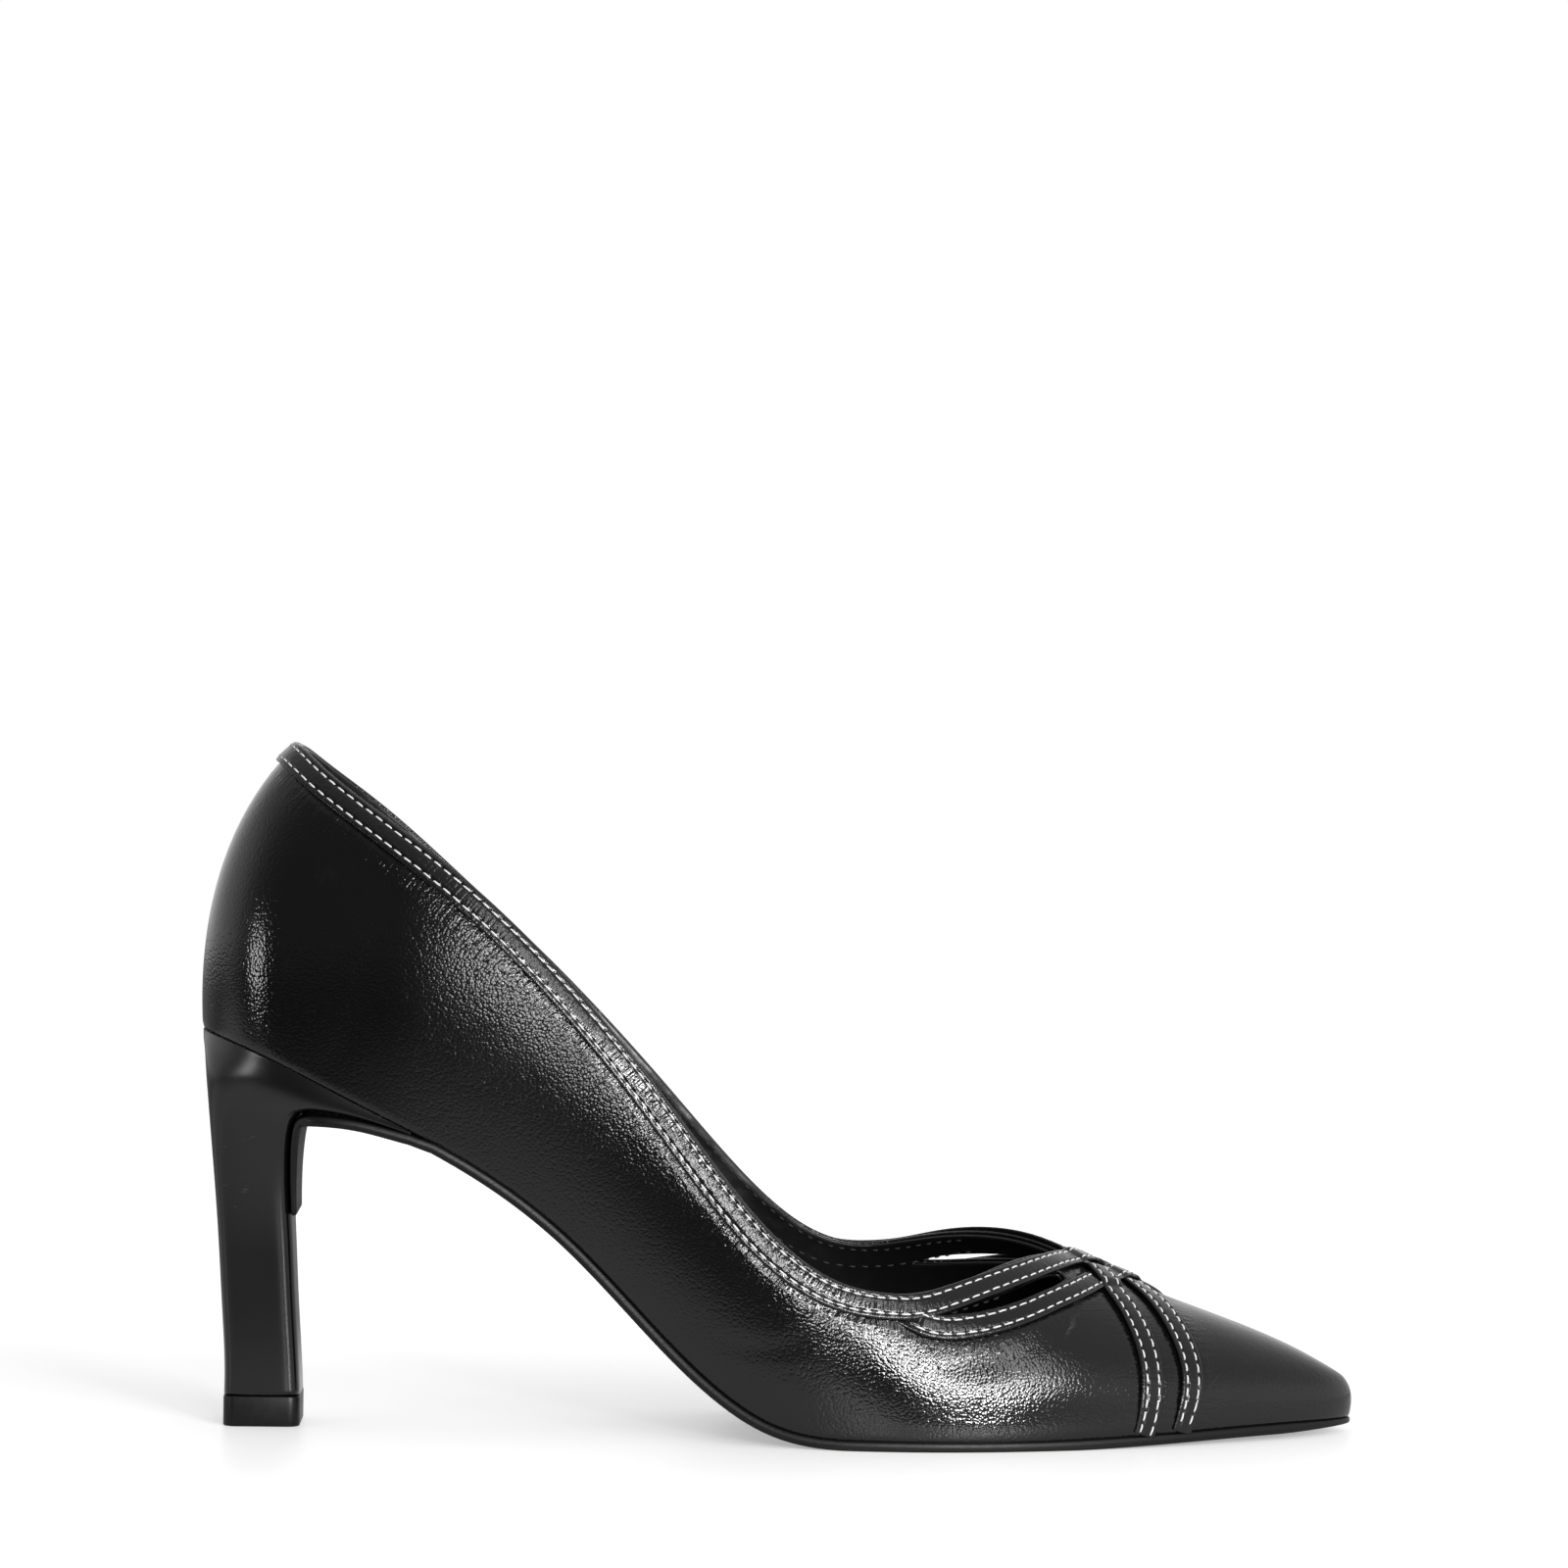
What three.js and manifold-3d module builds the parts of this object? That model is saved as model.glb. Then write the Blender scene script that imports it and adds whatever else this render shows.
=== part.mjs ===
// Pointed pump shoe for the right foot, with crossed straps over the vamp and a slim block heel.
// Millimetres. X runs from the back of the heel to the toe, Y to the inner side of the foot, Z up.
import * as THREE from 'three';
import Module from 'manifold-3d';

// Driving sizes of the last and the heel
const shoeLength = 240;
const ballWidth = 75;
const seatHeight = 82;
const lastDepth = 90;
const toeSpring = 1.3;

// Walls and layers
const upperWall = 1.8;
const soleThickness = 1.8;
const flapThickness = 0.8;
const soleMargin = 0.6;
const insoleThickness = 2;
const gap = 0.3;
const treadSettle = 0.12;

// Straps
const strapThickness = 1;
const collarStrapWidth = 5.4;
const vampStrapWidth = 5.2;

// Heel block and the end piece under it
const heelBaseLength = 15.8;
const heelBaseWidth = 18.4;
const heelBaseBack = 6;
const liftHeight = 6.3;
const liftCorner = 2.4;
const wedgeEnd = 44.5;

// The underside of the upper lies this far over the floor at the ball
const standing = soleThickness + gap - treadSettle;

// The last, one row for each station from the back of the heel to the toe tip. First its sole edge: foot
// runs along the shoe as a share of its length; outer and inner are shares of the ball width; lift is a
// share of the seat height, spring of the toe spring.
const soleRows = [
  { foot: 0.002, outer: 0, inner: 0, lift: 1, spring: 0 },
  { foot: 0.023, outer: 0.192, inner: 0.192, lift: 0.982, spring: 0 },
  { foot: 0.075, outer: 0.297, inner: 0.304, lift: 0.921, spring: 0 },
  { foot: 0.15, outer: 0.319, inner: 0.32, lift: 0.81, spring: 0 },
  { foot: 0.233, outer: 0.315, inner: 0.28, lift: 0.68, spring: 0 },
  { foot: 0.321, outer: 0.319, inner: 0.251, lift: 0.487, spring: 0 },
  { foot: 0.408, outer: 0.369, inner: 0.28, lift: 0.224, spring: 0 },
  { foot: 0.492, outer: 0.444, inner: 0.381, lift: 0.036, spring: 0 },
  { foot: 0.575, outer: 0.495, inner: 0.461, lift: 0.001, spring: 0 },
  { foot: 0.658, outer: 0.492, inner: 0.485, lift: 0, spring: 0 },
  { foot: 0.742, outer: 0.435, inner: 0.448, lift: 0, spring: 0.05 },
  { foot: 0.825, outer: 0.339, inner: 0.357, lift: 0, spring: 0.5 },
  { foot: 0.9, outer: 0.221, inner: 0.252, lift: 0, spring: 0.95 },
  { foot: 0.9625, outer: 0.093, inner: 0.152, lift: 0, spring: 1 },
  { foot: 0.999, outer: -0.051, inner: 0.051, lift: 0, spring: 0.8 },
];
const toeRow = soleRows.length - 1;

// Then its crest: crest runs along the shoe as a share of its length, lean is a share of the ball width,
// crown of the last's depth; fullOuter and fullInner say how far each side swells out below the crest.
const crestRows = [
  { crest: 0.167, lean: 0, crown: 0.75, fullOuter: 0.05, fullInner: 0.05 },
  { crest: 0.175, lean: 0, crown: 0.771, fullOuter: 0.1, fullInner: 0.1 },
  { crest: 0.196, lean: 0, crown: 0.831, fullOuter: 0.12, fullInner: 0.2 },
  { crest: 0.233, lean: 0, crown: 0.924, fullOuter: 0.23, fullInner: 0.32 },
  { crest: 0.292, lean: 0, crown: 0.984, fullOuter: 0.415, fullInner: 0.44 },
  { crest: 0.367, lean: 0.007, crown: 0.989, fullOuter: 0.418, fullInner: 0.52 },
  { crest: 0.437, lean: 0.013, crown: 0.956, fullOuter: 0.255, fullInner: 0.46 },
  { crest: 0.508, lean: 0.021, crown: 0.833, fullOuter: 0.165, fullInner: 0.24 },
  { crest: 0.583, lean: 0.033, crown: 0.642, fullOuter: 0.067, fullInner: 0.1 },
  { crest: 0.66, lean: 0.045, crown: 0.493, fullOuter: 0.01, fullInner: 0.06 },
  { crest: 0.742, lean: 0.053, crown: 0.393, fullOuter: 0.05, fullInner: 0.05 },
  { crest: 0.821, lean: 0.059, crown: 0.297, fullOuter: 0.07, fullInner: 0.07 },
  { crest: 0.892, lean: 0.061, crown: 0.221, fullOuter: 0.1, fullInner: 0.1 },
  { crest: 0.954, lean: 0.059, crown: 0.151, fullOuter: 0.16, fullInner: 0.16 },
  { crest: 0.985, lean: 0.053, crown: 0.106, fullOuter: 0.34, fullInner: 0.34 },
];

// Topline from the back of the collar to the throat: share of the way from the crest down to the sole.
// The throat is where it comes down to none, between the last two rows.
const toplineRows = [
  { outer: 0.333, inner: 0.333 },
  { outer: 0.353, inner: 0.355 },
  { outer: 0.424, inner: 0.415 },
  { outer: 0.496, inner: 0.494 },
  { outer: 0.551, inner: 0.574 },
  { outer: 0.592, inner: 0.609 },
  { outer: 0.624, inner: 0.617 },
  { outer: 0.66, inner: 0.637 },
  { outer: 0.655, inner: 0.607 },
  { outer: 0.493, inner: 0.373 },
  { outer: 0.099, inner: 0.02 },
  { outer: -0.4, inner: -0.42 },
];
const toplineEnd = toplineRows.length - 1;

// Strap routes: row of the last, and share of the way down from the crest (below zero past the crest).
// The collar strap leaves the topline, crosses the crest and runs down the other side to the sole.
const outerThroat = [
  { row: 9.58, down: 0.375 },
  { row: 10.05, down: 0.16 },
  { row: 10.3, down: 0 },
  { row: 10.5, down: -0.16 },
];
const innerThroat = [
  { row: 9.5, down: 0.262 },
  { row: 9.95, down: 0.1 },
  { row: 10.2, down: 0 },
  { row: 10.48, down: -0.21 },
];
const collarStrapEnd = [
  { row: 10.69, down: -0.375 },
  { row: 10.84, down: -0.56 },
  { row: 10.895, down: -0.735 },
  { row: 10.87, down: -0.9 },
  { row: 10.82, down: -0.962 },
];
// The vamp strap starts under the collar strap, below the cut-out
const outerVampStrap = [
  { row: 8.25, down: 0.665 },
  { row: 8.6, down: 0.686 },
  { row: 8.95, down: 0.662 },
  { row: 9.3, down: 0.61 },
  { row: 9.6, down: 0.545 },
  { row: 9.87, down: 0.465 },
  { row: 10.3, down: 0.285 },
];
const innerVampStrap = [
  { row: 8.2, down: 0.61 },
  { row: 8.6, down: 0.628 },
  { row: 8.95, down: 0.585 },
  { row: 9.3, down: 0.515 },
  { row: 9.6, down: 0.44 },
  { row: 9.87, down: 0.36 },
  { row: 10.3, down: 0.205 },
];
const vampStrapEnd = [
  { row: 10.7, down: 0 },
  { row: 11.02, down: -0.2 },
  { row: 11.22, down: -0.415 },
  { row: 11.335, down: -0.63 },
  { row: 11.32, down: -0.83 },
  { row: 11.235, down: -0.962 },
];

// Cut-outs between the two straps: middle line, and width as a share of the vamp strap's width
const outerCutout = [
  { row: 8.66, down: 0.648, width: 0.06 },
  { row: 8.94, down: 0.601, width: 0.46 },
  { row: 9.23, down: 0.551, width: 0.66 },
  { row: 9.52, down: 0.477, width: 0.72 },
  { row: 9.78, down: 0.386, width: 0.8 },
  { row: 9.98, down: 0.3, width: 0.66 },
  { row: 10.08, down: 0.252, width: 0.2 },
];
const innerCutout = [
  { row: 8.6, down: 0.583, width: 0.06 },
  { row: 8.88, down: 0.522, width: 0.4 },
  { row: 9.15, down: 0.465, width: 0.54 },
  { row: 9.42, down: 0.405, width: 0.58 },
  { row: 9.68, down: 0.34, width: 0.6 },
  { row: 9.9, down: 0.27, width: 0.5 },
  { row: 10.02, down: 0.225, width: 0.2 },
];

// Heel block from its base to the seat. backOut and frontOut are distances ahead of the back of the base,
// backUp and frontUp run from the base up to the seat, as shares; wide runs from the base's width to the
// seat's, and seated says how far the outline has become the seat's. The last row is the seat itself.
const heelRows = [
  { backOut: 0, backUp: 0, frontOut: 0, frontUp: 0, wide: 0, seated: 0 },
  { backOut: -0.005, backUp: 0.1, frontOut: -0.02, frontUp: 0.11, wide: 0.005, seated: 0 },
  { backOut: -0.13, backUp: 0.25, frontOut: -0.05, frontUp: 0.25, wide: 0.02, seated: 0 },
  { backOut: -0.26, backUp: 0.4, frontOut: -0.077, frontUp: 0.41, wide: 0.06, seated: 0 },
  { backOut: -0.4, backUp: 0.54, frontOut: -0.1, frontUp: 0.55, wide: 0.14, seated: 0.02 },
  { backOut: -0.56, backUp: 0.68, frontOut: -0.1, frontUp: 0.66, wide: 0.28, seated: 0.1 },
  { backOut: -0.7, backUp: 0.8, frontOut: -0.075, frontUp: 0.735, wide: 0.47, seated: 0.28 },
  { backOut: -0.81, backUp: 0.89, frontOut: 0.01, frontUp: 0.775, wide: 0.7, seated: 0.55 },
  { backOut: -0.9, backUp: 0.95, frontOut: 0.24, frontUp: 0.78, wide: 0.88, seated: 0.82 },
  { backOut: -0.97, backUp: 0.975, frontOut: 0.6, frontUp: 0.766, wide: 0.97, seated: 0.93 },
  { backOut: -0.99, backUp: 0.99, frontOut: 1, frontUp: 0.735, wide: 1, seated: 0.98 },
  { backOut: -1, backUp: 1, frontOut: 1, frontUp: 0.745, wide: 1, seated: 1 },
];
const flapRow = 3.6;
const flapTaperRows = 4;
const archRow = 10;
const widestSeatRow = 3;
const heelSquareness = 7;

// Steps of the faceted surfaces
const stepsPerRow = 4;
const stepsUp = 8;
const strapStep = 4;
const stepsAcrossSole = 4;
const heelStepsPerRow = 2;
const heelStepsAlong = 13;
const collarStep = 0.5;
const collarFreeRow = 9;
const routeSteps = 24;
const liftCornerSteps = 6;

// Passes after which the curves meet their values and a place along the sole is found
const fitPasses = 40;
const searchPasses = 30;

// A smooth curve through evenly spaced values. Ends are met by the value before and after them.
function smoothCurve(values, before, after) {
  const count = values.length;
  const held = values.slice();
  for (let pass = 0; pass < fitPasses; pass++) {
    const old = held.slice();
    for (let i = 0; i < count; i++) {
      const left = i > 0 ? old[i - 1] : before(old);
      const right = i < count - 1 ? old[i + 1] : after(old);
      held[i] = old[i] + values[i] - (left + 4 * old[i] + right) / 6;
    }
  }
  const control = (k) => {
    if (k < 0) return before(held);
    if (k === count) return after(held);
    return held[Math.min(k, count - 1)];
  };
  return (place) => {
    const i = Math.min(Math.max(Math.floor(place), 0), count - 1);
    const f = place - i;
    const a = (1 - f) ** 3;
    const b = 3 * f ** 3 - 6 * f ** 2 + 4;
    const c = -3 * f ** 3 + 3 * f ** 2 + 3 * f + 1;
    return (a * control(i - 1) + b * control(i) + c * control(i + 1) + f ** 3 * control(i + 2)) / 6;
  };
}

const onStart = (held) => 2 * held[0] - held[1];
const onEnd = (held) => 2 * held[held.length - 1] - held[held.length - 2];
const openCurve = (values) => smoothCurve(values, onStart, onEnd);

// A column of the last as a closed loop, down the outer side and back along the inner side
function loopCurve(rows, outerColumn, innerColumn) {
  const outer = rows.map(outerColumn);
  const inner = rows.map(innerColumn);
  const values = [...outer, ...inner.slice(1, -1).reverse()];
  const around = [...values, ...values, ...values];
  const curve = openCurve(around);
  return (row, side) => curve(values.length + (side < 0 ? row : values.length - row));
}

const evenCurve = (rows, column) => loopCurve(rows, column, column);
const last = {
  footX: evenCurve(soleRows, (row) => row.foot * shoeLength),
  footY: loopCurve(soleRows, (row) => -row.outer * ballWidth, (row) => row.inner * ballWidth),
  footZ: evenCurve(soleRows, (row) => standing + row.lift * (seatHeight - standing) + row.spring * toeSpring),
  crestX: evenCurve(crestRows, (row) => row.crest * shoeLength),
  crestY: evenCurve(crestRows, (row) => row.lean * ballWidth),
  crown: evenCurve(crestRows, (row) => row.crown * lastDepth),
  full: loopCurve(crestRows, (row) => row.fullOuter, (row) => row.fullInner),
};

// A point of the last. across is -1 at the outer sole edge, 0 on the crest, 1 at the inner sole edge.
// From the sole to the crest it is a quarter of an ellipse that swells out by the side's fullness.
function lastPoint(row, across) {
  const place = row < 0 ? -row : row;
  const over = row < 0 ? -across : across;
  const side = over < 0 ? -1 : 1;
  const turn = (1 - Math.abs(over)) * Math.PI / 2;
  const swell = 1 + 2 * last.full(place, side) * Math.sin(turn) * Math.cos(turn);
  const out = Math.cos(turn) * swell;
  const x = last.crestX(place, side);
  const y = last.crestY(place, side);
  return new THREE.Vector3(
    x + (last.footX(place, side) - x) * out,
    y + (last.footY(place, side) - y) * out,
    last.footZ(place, side) + last.crown(place, side) * Math.sin(turn),
  );
}

// Step over which slopes are taken, in rows and in shares
const small = 0.001;

function slopes(row, across) {
  const along = lastPoint(row + small, across).sub(lastPoint(row - small, across));
  const over = lastPoint(row, across + small).sub(lastPoint(row, across - small));
  return { along: along.divideScalar(2 * small), over: over.divideScalar(2 * small) };
}

function lastNormal(row, across) {
  const { along, over } = slopes(row, across);
  return along.cross(over).normalize();
}

// The point that lies above the last by a height
function raised(row, across, height) {
  return lastPoint(row, across).addScaledVector(lastNormal(row, across), height);
}

// The row and share reached from a spot by a short move that lies in the surface
function moved(spot, move) {
  const { along, over } = slopes(spot.row, spot.across);
  const aa = along.dot(along);
  const ab = along.dot(over);
  const bb = over.dot(over);
  const am = along.dot(move);
  const bm = over.dot(move);
  const scale = aa * bb - ab * ab;
  return {
    row: spot.row + (am * bb - bm * ab) / scale,
    across: spot.across + (bm * aa - am * ab) / scale,
  };
}

// Share of the way down from the crest at which the topline cuts each side
const toplineCurve = {
  outer: smoothCurve(toplineRows.map((row) => row.outer), (held) => held[1], onEnd),
  inner: smoothCurve(toplineRows.map((row) => row.inner), (held) => held[1], onEnd),
};
const sideName = (side) => (side < 0 ? 'outer' : 'inner');
const topline = (row, side) => (row >= toplineEnd ? 0 : Math.max(toplineCurve[sideName(side)](row), 0));

const samePlaceDigits = 4;
const pointKey = ({ x, y, z }) => [x, y, z].map((value) => value.toFixed(samePlaceDigits)).join();

// A closed solid between a sheet's front and its back. Spots that fall together are one.
class Sheet {
  constructor() {
    this.front = [];
    this.back = [];
    this.faces = [];
    this.seen = new Map();
  }

  add(front, back) {
    const key = pointKey(front);
    if (!this.seen.has(key)) {
      this.seen.set(key, this.front.length);
      this.front.push(front);
      this.back.push(back);
    }
    return this.seen.get(key);
  }

  // Faces of a grid of spots, which turn over when flipped
  grid(lines, flipped) {
    for (let i = 0; i < lines.length - 1; i++) {
      for (let j = 0; j < lines[i].length - 1; j++) {
        const corners = [lines[i][j], lines[i + 1][j], lines[i + 1][j + 1], lines[i][j + 1]];
        if (flipped) corners.reverse();
        this.faces.push([corners[0], corners[1], corners[2]], [corners[0], corners[2], corners[3]]);
      }
    }
  }

  solid() {
    const distinct = ([a, b, c]) => a !== b && b !== c && c !== a;
    const faces = this.faces.filter(distinct);
    const count = this.front.length;
    const edges = new Set(faces.flatMap(([a, b, c]) => [`${a},${b}`, `${b},${c}`, `${c},${a}`]));
    const all = [];
    for (const [a, b, c] of faces) {
      all.push([a, b, c], [a + count, c + count, b + count]);
      for (const [p, q] of [[a, b], [b, c], [c, a]]) {
        if (edges.has(`${q},${p}`)) continue;
        all.push([q, p, p + count], [q, p + count, q + count]);
      }
    }
    return closedGeometry([...this.front, ...this.back], all);
  }
}

// Geometry from points and faces, with points that fall together joined and empty faces left out
function closedGeometry(points, faces) {
  const seen = new Map();
  const kept = [];
  const place = points.map((point) => {
    const key = pointKey(point);
    if (!seen.has(key)) {
      seen.set(key, kept.length / 3);
      kept.push(point.x, point.y, point.z);
    }
    return seen.get(key);
  });
  const index = [];
  for (const face of faces) {
    const [a, b, c] = face.map((corner) => place[corner]);
    if (a !== b && b !== c && c !== a) index.push(a, b, c);
  }
  const geometry = new THREE.BufferGeometry();
  geometry.setAttribute('position', new THREE.Float32BufferAttribute(kept, 3));
  geometry.setIndex(index);
  return geometry;
}

const wasm = await Module();
wasm.setup();

function toManifold(geometry) {
  const mesh = new wasm.Mesh({
    numProp: 3,
    vertProperties: new Float32Array(geometry.attributes.position.array),
    triVerts: new Uint32Array(geometry.index.array),
  });
  return new wasm.Manifold(mesh);
}

function toGeometry(manifold) {
  const mesh = manifold.getMesh();
  const geometry = new THREE.BufferGeometry();
  geometry.setAttribute('position', new THREE.Float32BufferAttribute(mesh.vertProperties, 3));
  geometry.setIndex([...mesh.triVerts]);
  return geometry;
}

// A band laid on the last along a route of spots, between two heights above the surface
function band(route, widths, low, high) {
  const sheet = new Sheet();
  const lines = route.map((spot, i) => {
    const ahead = route[Math.min(i + 1, route.length - 1)];
    const behind = route[Math.max(i - 1, 0)];
    const forward = lastPoint(ahead.row, ahead.across).sub(lastPoint(behind.row, behind.across));
    const sideways = lastNormal(spot.row, spot.across).cross(forward).normalize();
    return [-0.5, 0, 0.5].map((share) => {
      const place = moved(spot, sideways.clone().multiplyScalar(share * widths(i / (route.length - 1))));
      return sheet.add(raised(place.row, place.across, high), raised(place.row, place.across, low));
    });
  });
  sheet.grid(lines, false);
  return sheet.solid();
}

// Spots about one strap step apart on a smooth curve through the given spots
function evenRoute(spots) {
  const rowAt = openCurve(spots.map((spot) => spot.row));
  const acrossAt = openCurve(spots.map((spot) => spot.across));
  const route = [{ row: spots[0].row, across: spots[0].across }];
  let walked = 0;
  let before = lastPoint(route[0].row, route[0].across);
  const fine = routeSteps * (spots.length - 1);
  for (let i = 1; i <= fine; i++) {
    const place = i / fine * (spots.length - 1);
    const spot = { row: rowAt(place), across: acrossAt(place) };
    const here = lastPoint(spot.row, spot.across);
    walked += here.distanceTo(before);
    before = here;
    if (walked < strapStep && i < fine) continue;
    route.push(spot);
    walked = 0;
  }
  return route;
}

const spotsOn = (rows, side) => rows.map((spot) => ({ row: spot.row, across: side * spot.down }));

// The collar strap hangs from the topline by half its width, from just past the back centre
function collarSpots(side) {
  const across = (row) => side * topline(Math.abs(row), row < 0 ? -side : side);
  const spots = [];
  for (let row = -collarStep / 2; row < collarFreeRow; row += collarStep) {
    const spot = { row, across: across(row) };
    const ahead = lastPoint(row + small, across(row + small));
    const forward = ahead.sub(lastPoint(row, spot.across));
    const down = forward.cross(lastNormal(row, spot.across)).setLength(collarStrapWidth / 2);
    spots.push(moved(spot, side < 0 ? down : down.negate()));
  }
  return spots;
}

// The upper: one wall from the sole edge to the topline, and over the crest from the throat to the toe
function makeUpper() {
  const sheet = new Sheet();
  for (const side of [-1, 1]) {
    const lines = [];
    for (let i = 0; i <= toeRow * stepsPerRow; i++) {
      const row = i / stepsPerRow;
      const top = topline(row, side);
      const line = [];
      for (let j = 0; j <= stepsUp; j++) {
        const across = side * (1 - (1 - top) * j / stepsUp);
        line.push(sheet.add(lastPoint(row, across), raised(row, across, -upperWall)));
      }
      lines.push(line);
    }
    sheet.grid(lines, side > 0);
  }
  let wall = toManifold(sheet.solid());
  const reach = 2 * upperWall;
  for (const [rows, side] of [[outerCutout, -1], [innerCutout, 1]]) {
    const widthAt = openCurve(rows.map((spot) => spot.width * vampStrapWidth));
    const width = (share) => widthAt(share * (rows.length - 1));
    const cutter = band(evenRoute(spotsOn(rows, side)), width, -reach, reach);
    wall = wall.subtract(toManifold(cutter));
  }
  return toGeometry(wall);
}

// The straps, joined where they cross, lie on the upper
function makeStraps() {
  const low = gap;
  const high = gap + strapThickness;
  const runs = [
    [[...collarSpots(-1), ...spotsOn([...outerThroat, ...collarStrapEnd], -1)], collarStrapWidth],
    [[...collarSpots(1), ...spotsOn([...innerThroat, ...collarStrapEnd], 1)], collarStrapWidth],
    [spotsOn([...outerVampStrap, ...vampStrapEnd], -1), vampStrapWidth],
    [spotsOn([...innerVampStrap, ...vampStrapEnd], 1), vampStrapWidth],
  ];
  const bands = runs.map(([spots, width]) => {
    const strap = band(evenRoute(spots), () => width, low, high);
    return toManifold(strap);
  });
  return toGeometry(bands.reduce((joined, next) => joined.add(next)));
}

// A point of the sole edge, moved outwards in plan by a margin
function edgePoint(row, side, margin) {
  const here = (place) => new THREE.Vector3(last.footX(place, side), last.footY(place, side), 0);
  const along = here(row + small).sub(here(row - small));
  const out = new THREE.Vector3(along.y, -along.x, 0).normalize().multiplyScalar(-side * margin);
  return here(row).add(out).setZ(last.footZ(row, side));
}

// Lines of points across the sole, one for each station from row to row
function acrossSole(fromRow, margin) {
  const stations = [];
  const steps = Math.round((toeRow - fromRow) * stepsPerRow);
  for (let i = 0; i <= steps; i++) {
    const row = fromRow + (toeRow - fromRow) * i / steps;
    stations.push([edgePoint(row, -1, margin), edgePoint(row, 1, margin)]);
  }
  return stations;
}

// A plate from stations of outer and inner edge points, moved from them by two functions
function plate(stations, front, back) {
  const sheet = new Sheet();
  const lines = stations.map(([outer, inner], i) => {
    const line = [];
    for (let j = 0; j <= stepsAcrossSole; j++) {
      const point = outer.clone().lerp(inner, j / stepsAcrossSole);
      line.push(sheet.add(front(point.clone(), i), back(point, i)));
    }
    return line;
  });
  sheet.grid(lines, true);
  return sheet.solid();
}

// The insole lies inside the wall, over the outsole
function makeInsole() {
  const stations = acrossSole(0, -(upperWall + 2 * gap));
  const up = (height) => (point) => point.setZ(point.z + height);
  return plate(stations, up(0), up(insoleThickness));
}

const heelCurve = (name) => openCurve(heelRows.map((row) => row[name]));
const heelShares = {
  backOut: heelCurve('backOut'),
  backUp: heelCurve('backUp'),
  frontOut: heelCurve('frontOut'),
  frontUp: heelCurve('frontUp'),
  wide: heelCurve('wide'),
  seated: heelCurve('seated'),
};
const heelBase = liftHeight + gap;
const seatBack = last.footX(0, -1) + gap;
const seatHalf = last.footY(widestSeatRow, 1);

// Back and front point of the heel block at a level
function heelBack(level) {
  const x = heelBaseBack + heelShares.backOut(level) * (heelBaseBack - seatBack);
  return { x, z: heelBase + heelShares.backUp(level) * (seatHeight - gap - heelBase) };
}

function heelFront(level) {
  const baseFront = heelBaseBack + heelBaseLength;
  const x = baseFront + Math.min(heelShares.frontOut(level), 1) * (wedgeEnd - baseFront);
  const up = heelShares.frontUp(Math.min(level, archRow));
  const arch = heelBase + up * (seatHeight - gap - heelBase);
  const lip = last.footZ(rowAtFoot(wedgeEnd), -1) - gap;
  return { x, z: THREE.MathUtils.lerp(arch, lip, Math.max(level - archRow, 0)) };
}

// Row of the last whose sole edge has this place along the shoe
function rowAtFoot(x) {
  let low = 0;
  let high = toeRow;
  for (let pass = 0; pass < searchPasses; pass++) {
    const middle = (low + high) / 2;
    if (last.footX(middle, -1) < x) low = middle;
    else high = middle;
  }
  return (low + high) / 2;
}

// Height of the seat over the straight line from its back to the end of the wedge
function seatBow(x) {
  const share = THREE.MathUtils.clamp((x - seatBack) / (wedgeEnd - seatBack), 0, 1);
  const straight = THREE.MathUtils.lerp(last.footZ(0, -1), last.footZ(rowAtFoot(wedgeEnd), -1), share);
  return last.footZ(rowAtFoot(seatBack + share * (wedgeEnd - seatBack)), -1) - straight;
}

// The heel block: a rounded rectangle at its base that grows into the outline of the heel seat
function makeHeel() {
  const sheet = new Sheet();
  const lines = [];
  const levels = (heelRows.length - 1) * heelStepsPerRow;
  for (let i = 0; i <= levels; i++) {
    const level = i / heelStepsPerRow;
    const back = heelBack(level);
    const front = heelFront(level);
    const seated = THREE.MathUtils.clamp(heelShares.seated(level), 0, 1);
    const half = THREE.MathUtils.lerp(heelBaseWidth / 2, seatHalf, heelShares.wide(level));
    const line = [];
    for (let j = 0; j <= heelStepsAlong; j++) {
      const share = (1 - Math.cos(Math.PI * j / heelStepsAlong)) / 2;
      const x = THREE.MathUtils.lerp(back.x, front.x, share);
      const row = rowAtFoot(x);
      const z = THREE.MathUtils.lerp(back.z, front.z, share) + seated * seatBow(x);
      const box = half * (1 - Math.abs(2 * share - 1) ** heelSquareness) ** (1 / heelSquareness);
      const closed = j === 0 || j === heelStepsAlong ? 0 : 1;
      const outer = -THREE.MathUtils.lerp(box, -last.footY(row, -1), seated) * closed;
      const inner = THREE.MathUtils.lerp(box, last.footY(row, 1), seated) * closed;
      line.push(sheet.add(new THREE.Vector3(x, outer, z), new THREE.Vector3(x, inner, z)));
    }
    lines.push(line);
  }
  sheet.grid(lines, true);
  return sheet.solid();
}

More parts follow.
